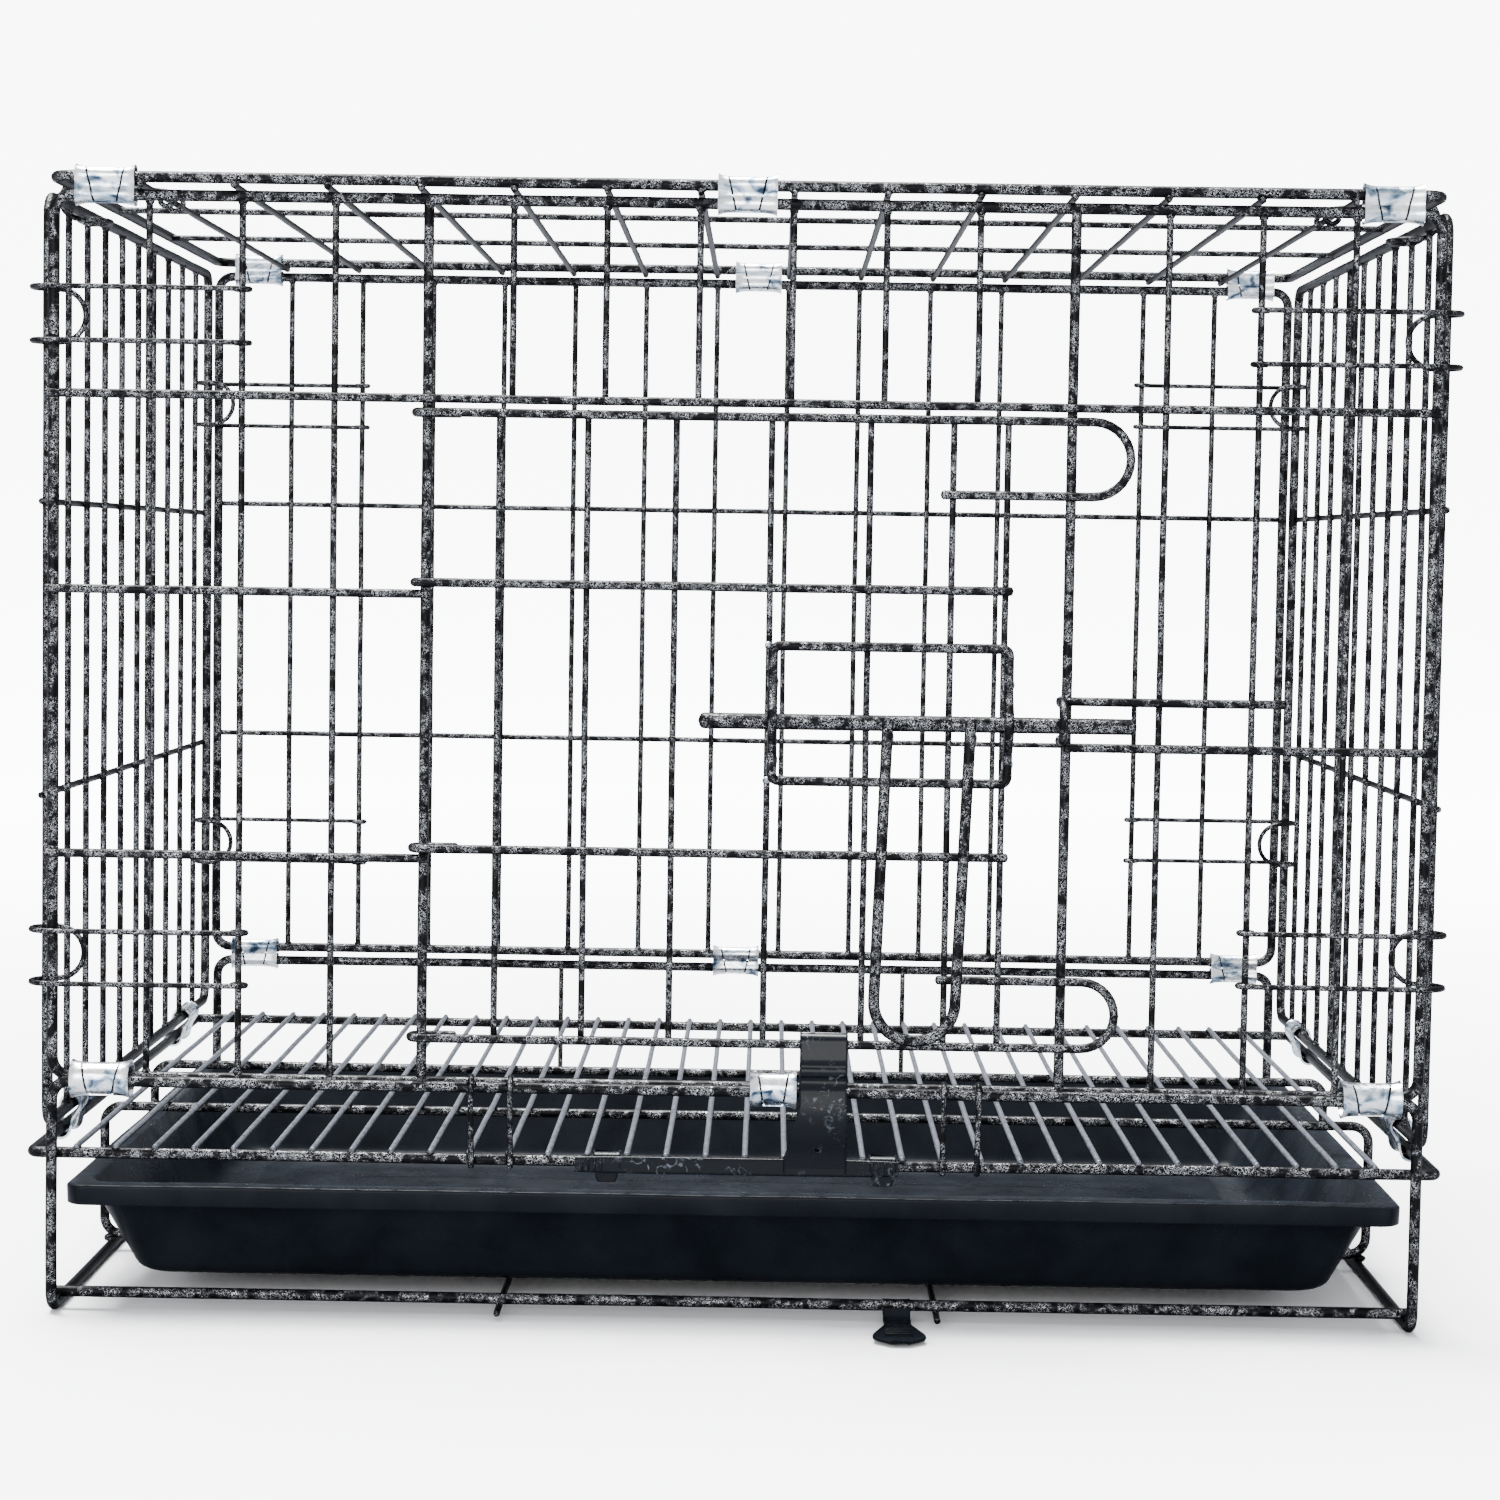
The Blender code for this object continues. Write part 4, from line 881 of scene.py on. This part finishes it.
def guide():
    """A rounded loop whose two upright sides are pressed out over the bolt."""
    low, high = GUIDE_HEIGHTS
    left, right = GUIDE_X
    turn = 0.003

    def side(x, way):
        rises = (-GUIDE_BUMP_RISE, -GUIDE_BUMP_CREST, GUIDE_BUMP_CREST, GUIDE_BUMP_RISE)
        depths = (GUIDE_Y, GUIDE_BUMP_Y, GUIDE_BUMP_Y, GUIDE_Y)
        return [Vector((x, y, BOLT_Z + way * rise)) for y, rise in zip(depths, rises)]

    corners = [
        Vector((left, GUIDE_Y, low)),
        Vector((right, GUIDE_Y, low)),
        *side(right, 1),
        Vector((right, GUIDE_Y, high)),
        Vector((left, GUIDE_Y, high)),
        *side(left, -1),
    ]
    route = bent(corners, turn, closed=True, steps=5)
    wires("bolt_guide_wire", [route], GUIDE_R, "door", node="bolt_guide", closed=True, sides=14)
    bm = bmesh.new()
    for x in (left, right):
        for z in (BOLT_Z - GUIDE_BUMP_RISE - 0.004, BOLT_Z + GUIDE_BUMP_RISE + 0.004):
            bead(bm, (x, GUIDE_Y + GUIDE_R * 0.3, z), 0.0026, (1.0, 1.0, 1.5))
    for x in DOOR_RODS[3:6]:
        welds_at(bm, [(x, (GUIDE_Y + DOOR_ROD_Y) / 2 - 0.0004, z) for z in GUIDE_HEIGHTS], 0.0019)
    welds = place("bolt_guide_welds", bm, "door", "hammered_coat")
    welds.data.materials[0] = BARE_WELD


def bolt():
    ends = [(x, BOLT_Y, BOLT_Z) for x in BOLT_X]
    wires("bolt_rod_bar", [spaced(ends, 0.02)], BOLT_R, "bolt", node="bolt_rod", sides=20)
    y = BOLT_Y - beside(BOLT_R, FRAME_R)
    top, low = BOLT_Z + 0.001, BOLT_Z - HANDLE_HEIGHT
    left, right = HANDLE_TOP_X
    low_left, low_right = HANDLE_BOTTOM_X
    corners = [(left, y, top), (low_left, y, low), (low_right, y, low), (right, y, top)]
    pull = bent(corners, HANDLE_BEND, steps=12)
    wires("bolt_pull", [pull], FRAME_R, "handle", node="bolt_handle", sides=16)
    bm = bmesh.new()
    for x in HANDLE_TOP_X:
        bead(bm, (x, y + FRAME_R * 0.7, BOLT_Z - 0.001), 0.0026, (1.2, 0.8, 1.2))
        bead(bm, (x + 0.0012, y + FRAME_R * 0.5, BOLT_Z - 0.0055), 0.0017, (1.0, 0.9, 1.4))
    welds = place("bolt_pull_welds", bm, "handle", "hammered_coat")
    welds.data.materials[0] = BARE_WELD
    front_y = PANEL_Y - beside(POST_R) - EYE_R / 2
    depth = BOLT_Y - 0.0007
    low_leg = (EYE_X, depth, EYE_CENTRE_Z - EYE_BEND)
    bend = arc((EYE_X, depth, EYE_CENTRE_Z), low_leg, (-1, 0, 0), math.pi, 14)
    legs = [(EYE_X, front_y, EYE_CENTRE_Z - EYE_BEND), (EYE_X, front_y, EYE_CENTRE_Z + EYE_BEND)]
    wires("bolt_eye_wire", [[legs[0], *bend, legs[1]]], EYE_R, node="bolt_eye", sides=14)
    bm = bmesh.new()
    for leg in legs:
        bead(bm, Vector(leg) + Vector((0, -0.0006, 0)), 0.0024, (1.1, 0.7, 1.1))
    place("bolt_eye_welds", bm, "crate", "hammered_coat")


# ---------------------------------------------------------------- plastic parts
def strap_latch():
    """A bar with two snap rings on the grate's front wire, and a ribbed strap hooked over the door."""
    ring = SPREAD * FRAME_R + GAP + STRAP_WALL / 2
    bar_y = PANEL_Y - ring
    low, high = LATCH_BAR_HEIGHTS
    bm = bmesh.new()
    steps = 24
    route = [(LATCH_BAR_LENGTH * (k / steps - 0.5), 0, 0) for k in range(steps + 1)]
    widths = [(high - low) * (1 - 0.12 * abs(2 * k / steps - 1) ** 6) for k in range(steps + 1)]
    ribbon(bm, (LATCH_BAR_X, bar_y, (low + high) / 2), route, widths, STRAP_WALL, axis=(0, 0, 1))
    for way in (-1, 1):
        for k in range(4):
            x = LATCH_BAR_X + way * (LATCH_BAR_LENGTH / 2 - 0.003 - 0.0028 * k)
            rib = [(x, bar_y - STRAP_WALL / 2, z) for z in (low + 0.0014, (low + high) / 2, high - 0.0014)]
            tube(bm, rib, 0.0005, sides=8)
    opening = math.radians(100)
    axis = (0, PANEL_Y, GRATE_Z)
    for gap in SNAP_GAPS:
        x = GRATE_MIDDLE_X + GRATE_PITCH * gap
        under = arc(axis, (0, bar_y, GRATE_Z), (1, 0, 0), opening, 8)
        over = arc(axis, (0, bar_y, GRATE_Z), (-1, 0, 0), opening, 8)
        route = [*reversed(under), *over[1:]]
        ribbon(bm, (x, 0, 0), route, [SNAP_LENGTH] * len(route), STRAP_WALL * 0.8)
        tab = [(0, 0, 0), (0, 0.0002, -0.0025), (0, 0.0003, -0.0045)]
        ribbon(bm, (x, bar_y, low + 0.0008), tab, [0.010, 0.0095, 0.008], STRAP_WALL * 0.8)
    crook_r = beside(BAR_R) + STRAP_WALL / 2 + 0.0006
    front_y = DOOR_Y - crook_r
    top = DOOR_BOTTOM_Z + 0.0010
    crook = arc((0, DOOR_Y - GAP, top), (0, front_y, top), (-1, 0, 0), math.radians(200), 12)
    stem = smooth_route(
        [
            (0, bar_y + 0.0004, GRATE_Z - 0.0030),
            (0, bar_y - 0.0016, GRATE_Z + 0.0055),
            (0, front_y - 0.0022, GRATE_Z + 0.0190),
            (0, front_y - 0.0012, GRATE_Z + 0.0350),
            (0, front_y, top - 0.0060),
        ],
        parts=14,
    )
    foot, neck = 0.0275, 0.0208
    roll_top, roll_pitch, rolls = top - 0.0045, 0.0050, 3
    shape = []
    for p in stem:
        spread = 1 - min(1, max(0, (p.z - GRATE_Z - 0.004) / 0.024)) ** 0.8
        shape.append(neck + (foot - neck) * spread)
        p.x -= 0.0030 * spread
        down = (roll_top - p.z) / roll_pitch
        if 0 < down < rolls:
            p.y -= 0.0011 * math.sin(math.pi * (down % 1)) ** 0.7
    ribbon(bm, (STRAP_X, 0, 0), [*stem, *crook], [*shape, *[neck] * len(crook)], STRAP_WALL)
    eyelet = Vector((STRAP_X - 0.002, bar_y - 0.0022 - STRAP_WALL / 2, GRATE_Z + 0.0085))
    rim = arc(eyelet, eyelet + Vector((0.0019, 0, 0)), (0, 1, 0), 2 * math.pi, 16)[:-1]
    tube(bm, rim, 0.0005, sides=8, closed=True)
    made = place("strap_latch_moulding", bm, "strap", "black_plastic", "strap_latch")
    made.data.materials[0] = SCUFFED_PLASTIC


def tray_stop():
    """A snap ring, open at the top, with a pointed tongue that lies forward on the floor."""
    ring = SPREAD * FRAME_R + GAP + STOP_WALL / 2
    axis = Vector((0, FRONT_BAR_Y, FRONT_BAR_Z))
    start = axis + Matrix.Rotation(math.radians(-60), 3, "X") @ Vector((0, 0, ring))
    curve = arc(axis, start, (-1, 0, 0), math.radians(200), 16)
    tongue = smooth_route(
        [
            curve[-1],
            (0, FRONT_BAR_Y - 0.008, RAIL_Z * 1.2),
            (0, FRONT_BAR_Y - 0.022, 0.0031),
            (0, FRONT_BAR_Y - 0.036, 0.0024),
            (0, FRONT_BAR_Y - 0.0465, 0.0021),
        ]
    )
    widths = []
    for p in tongue:
        reach = (FRONT_BAR_Y - p.y) / 0.0465
        flare = 0.012 + 0.011 * max(0, min(1, (reach - 0.45) / 0.3))
        widths.append(flare if reach < 0.86 else flare - 0.015 * (reach - 0.86) / 0.14)
    bm = bmesh.new()
    ribbon(bm, (STOP_X, 0, 0), [*curve[:-1], *tongue], [0.012] * (len(curve) - 1) + widths, STOP_WALL)
    for reach in (0.62, 0.70, 0.78):
        y = FRONT_BAR_Y - 0.0465 * reach
        rib = [(STOP_X + x, y, 0.0027 + STOP_WALL / 2) for x in (-0.006, 0, 0.006)]
        tube(bm, rib, 0.0005, sides=8)
    place("tray_stop_moulding", bm, "tray_stop", "black_plastic", "tray_stop")


TRAY_RIBS = (0.018, 0.060)  # where the low ribs pressed in the floor begin, from its edge
TRAY_RIB = ((0, 0), (0.0015, 0.0007), (0.006, 0.0007), (0.0075, 0))  # a rib's section
TRAY_RIM = 0.0085
TRAY_TAPER = 0.0175
TRAY_WALL = 0.0018
TRAY_CORNER = 0.0080
TRAY_CORNER_GROWTH = 0.15
TRAY_LIP = 0.0095
TRAY_FLOOR_BEND = 0.0085


def rim_loop(half_x, near, far, radius, bend_steps=8, side_steps=30):
    """Plan points of a rounded rectangle, with its long sides divided so that they can waver."""
    corners = [(-half_x, near), (half_x, near), (half_x, far), (-half_x, far)]
    plan = bent([(x, y, 0) for x, y in corners], radius, closed=True, steps=bend_steps)
    loop = []
    per_corner = bend_steps + 1
    for c in range(4):
        loop += plan[c * per_corner : (c + 1) * per_corner]
        a, b = plan[(c + 1) * per_corner - 1], plan[(c + 1) * per_corner % len(plan)]
        loop += [a.lerp(b, k / side_steps) for k in range(1, side_steps)]
    return loop


def tray():
    """A vacuum-formed pan: flat rim with a turned-down lip, tapered walls and a stepped floor."""
    low, high = TRAY_LOW.z, TRAY_HIGH.z
    near, far = TRAY_LOW.y - FRONT, TRAY_HIGH.y - FRONT
    half_x = (TRAY_HIGH.x - TRAY_LOW.x) / 2
    foot = TRAY_RIM + TRAY_TAPER
    inside = low + TRAY_WALL
    soft = 0.0006
    bend = TRAY_FLOOR_BEND

    def rounded(inset, z, radius, first, last, steps=5):
        """Profile points round an arc; angles are from the inward direction towards up."""
        angles = [math.radians(first + (last - first) * k / steps) for k in range(steps + 1)]
        return [(inset + radius * math.cos(a), z + radius * math.sin(a)) for a in angles]

    slope = math.degrees(math.atan2(high - low, TRAY_TAPER))
    profile = [
        *rounded(foot + bend * 0.8, low + bend, bend, -90, -180 + (90 - slope)),
        (TRAY_RIM + 0.0006, high - TRAY_WALL - 0.001),
        (TRAY_RIM - 0.0004, high - TRAY_WALL),
        (TRAY_WALL + 0.0008, high - TRAY_WALL),
        (TRAY_WALL, high - TRAY_WALL - 0.0008),
        (TRAY_WALL, high - TRAY_LIP + soft),
        (TRAY_WALL / 2, high - TRAY_LIP),
        (0.0002, high - TRAY_LIP + soft),
        *rounded(0.0014, high - 0.0014, 0.0014, 180, 90),
        *rounded(TRAY_RIM + 0.0002, high - 0.0016, 0.0016, 90, 90 - slope + 4),
        *rounded(foot + TRAY_WALL + bend * 0.8, inside + bend, bend, -180 + (90 - slope), -90),
        *[(foot + start + run, inside + rise) for start in TRAY_RIBS for run, rise in TRAY_RIB],
    ]
    bm = bmesh.new()
    rings = []
    for inset, z in profile:
        ring = []
        corner = TRAY_CORNER + TRAY_CORNER_GROWTH * inset
        for p in rim_loop(half_x - inset, near + inset, far - inset, corner):
            share = max(0, (z - (high - 0.012)) / 0.012)
            sway = noise.noise(Vector((p.x * 14, p.y * 14, 2.7))) * 0.0007 - 0.0007
            ring.append(bm.verts.new((p.x, p.y, z + sway * share)))
        rings.append(ring)
    for first, second in zip(rings, rings[1:]):
        skin(bm, first, second)
    bm.faces.new(rings[0])
    bm.faces.new(rings[-1])
    place("tray_pan", bm, "tray", "black_plastic", "tray", sharp=60)


# ---------------------------------------------------------------- stage, light and camera
VIEW_FROM = Vector((0.0126, -1.3866, 0.3356))  # from the front legs' plane
VIEW_YAW, VIEW_PITCH, VIEW_ROLL = -0.33, -3.49, 0.90  # degrees
VIEW_ANGLE = 26.2
AIR_LIGHT = 1.2  # how bright the white surroundings are for the crate
AIR_SEEN = 8.0  # and for the camera
SUN_STRENGTH = 22
FRONT_WATTS = 50
FLOOR_GLOW = (0.0, 8.0)  # lifts the floor to white for the camera, beside the crate and 3 m away


def stage():
    """A pale floor that sweeps up into a backdrop."""
    bm = bmesh.new()
    width, near, far, radius, tall = 7.0, -4.0, 3.2, 1.2, 4.0
    profile = [(near, 0.0), (far, 0.0)]
    profile += [(far + radius * math.sin(a), radius - radius * math.cos(a)) for a in
                [math.radians(90 * k / 16) for k in range(1, 17)]]
    profile.append((far + radius, tall))
    rows = [[bm.verts.new((x, y, z - 0.0002)) for x in (-width, width)] for y, z in profile]
    for a, b in zip(rows, rows[1:]):
        bm.faces.new((a[0], a[1], b[1], b[0]))
    mesh = bpy.data.meshes.new("studio_floor")
    bm.to_mesh(mesh)
    bm.free()
    mesh.shade_smooth()
    paper = bpy.data.materials.new("studio_paper")
    paper.use_nodes = True
    nodes, links = paper.node_tree.nodes, paper.node_tree.links
    shader = nodes["Principled BSDF"]
    seen = nodes.new("ShaderNodeLightPath").outputs["Is Camera Ray"]
    tone = nodes.new("ShaderNodeMixRGB")
    tone.inputs["Color1"].default_value = (0.20, 0.21, 0.23, 1)  # what the crate sees of the floor
    tone.inputs["Color2"].default_value = (0.94, 0.95, 0.97, 1)
    links.new(seen, tone.inputs["Fac"])
    links.new(tone.outputs["Color"], shader.inputs["Base Color"])
    shader.inputs["Roughness"].default_value = 0.9
    reach = nodes.new("ShaderNodeVectorMath")
    reach.operation = "LENGTH"
    links.new(nodes.new("ShaderNodeTexCoord").outputs["Object"], reach.inputs[0])
    rise = nodes.new("ShaderNodeMapRange")
    rise.inputs["From Min"].default_value, rise.inputs["From Max"].default_value = 0.45, 3.0
    rise.inputs["To Min"].default_value, rise.inputs["To Max"].default_value = FLOOR_GLOW
    links.new(reach.outputs["Value"], rise.inputs["Value"])
    glow = nodes.new("ShaderNodeMath")
    glow.operation = "MULTIPLY"
    links.new(seen, glow.inputs[0])
    links.new(rise.outputs["Result"], glow.inputs[1])
    links.new(glow.outputs["Value"], shader.inputs["Emission Strength"])
    shader.inputs["Emission Color"].default_value = (0.97, 0.98, 1.0, 1)
    mesh.materials.append(paper)
    floor = bpy.data.objects.new("studio_floor", mesh)
    bpy.context.scene.collection.objects.link(floor)


def lamp(kind, name, energy, place_at, look_at):
    """A lamp of the given kind, aimed at a point."""
    data = bpy.data.lights.new(name, kind)
    data.energy = energy
    made = bpy.data.objects.new(name, data)
    made.location = place_at
    made.rotation_euler = (Vector(look_at) - Vector(place_at)).to_track_quat("-Z", "Y").to_euler()
    bpy.context.scene.collection.objects.link(made)
    return data


def light():
    world = bpy.data.worlds.new("studio_air")
    world.use_nodes = True
    nodes, links = world.node_tree.nodes, world.node_tree.links
    background = nodes["Background"]
    background.inputs["Color"].default_value = (0.95, 0.97, 1.0, 1)
    strength = nodes.new("ShaderNodeMapRange")
    strength.inputs["To Min"].default_value = AIR_LIGHT
    strength.inputs["To Max"].default_value = AIR_SEEN
    links.new(nodes.new("ShaderNodeLightPath").outputs["Is Camera Ray"], strength.inputs["Value"])
    links.new(strength.outputs["Result"], background.inputs["Strength"])
    bpy.context.scene.world = world
    overhead = lamp("SUN", "overhead_light", SUN_STRENGTH, (-0.4, 0.5, 2.0), (0, 0, 0))
    overhead.angle = math.radians(38)
    front = lamp("AREA", "front_light", FRONT_WATTS, (-0.5, -2.3, 0.7), (0, 0, 0.25))
    front.shape = "RECTANGLE"
    front.size, front.size_y = 1.9, 1.1


def camera():
    yaw, pitch, roll = (math.radians(a) for a in (VIEW_YAW, VIEW_PITCH, VIEW_ROLL))
    ahead = Vector((math.sin(yaw) * math.cos(pitch), math.cos(yaw) * math.cos(pitch), math.sin(pitch)))
    level = Vector((math.cos(yaw), -math.sin(yaw), 0))
    above = level.cross(ahead)
    right = level * math.cos(roll) + above * math.sin(roll)
    up = above * math.cos(roll) - level * math.sin(roll)
    lens = bpy.data.cameras.new("view")
    lens.angle = math.radians(VIEW_ANGLE)
    lens.clip_start, lens.clip_end = 0.05, 50
    made = bpy.data.objects.new("view", lens)
    turn = Matrix((right, up, -ahead)).transposed().to_4x4()
    made.matrix_world = Matrix.Translation(VIEW_FROM + Vector((0, FRONT, 0))) @ turn
    bpy.context.scene.collection.objects.link(made)
    bpy.context.scene.camera = made


# ---------------------------------------------------------------- the whole crate
camera()
base()
grate()
front()
back()
roof()
side_wires("left", -1)
side_wires("right", 1)
hooks()
clips()
door()
bolt()
strap_latch()
tray_stop()
tray()
stage()
light()
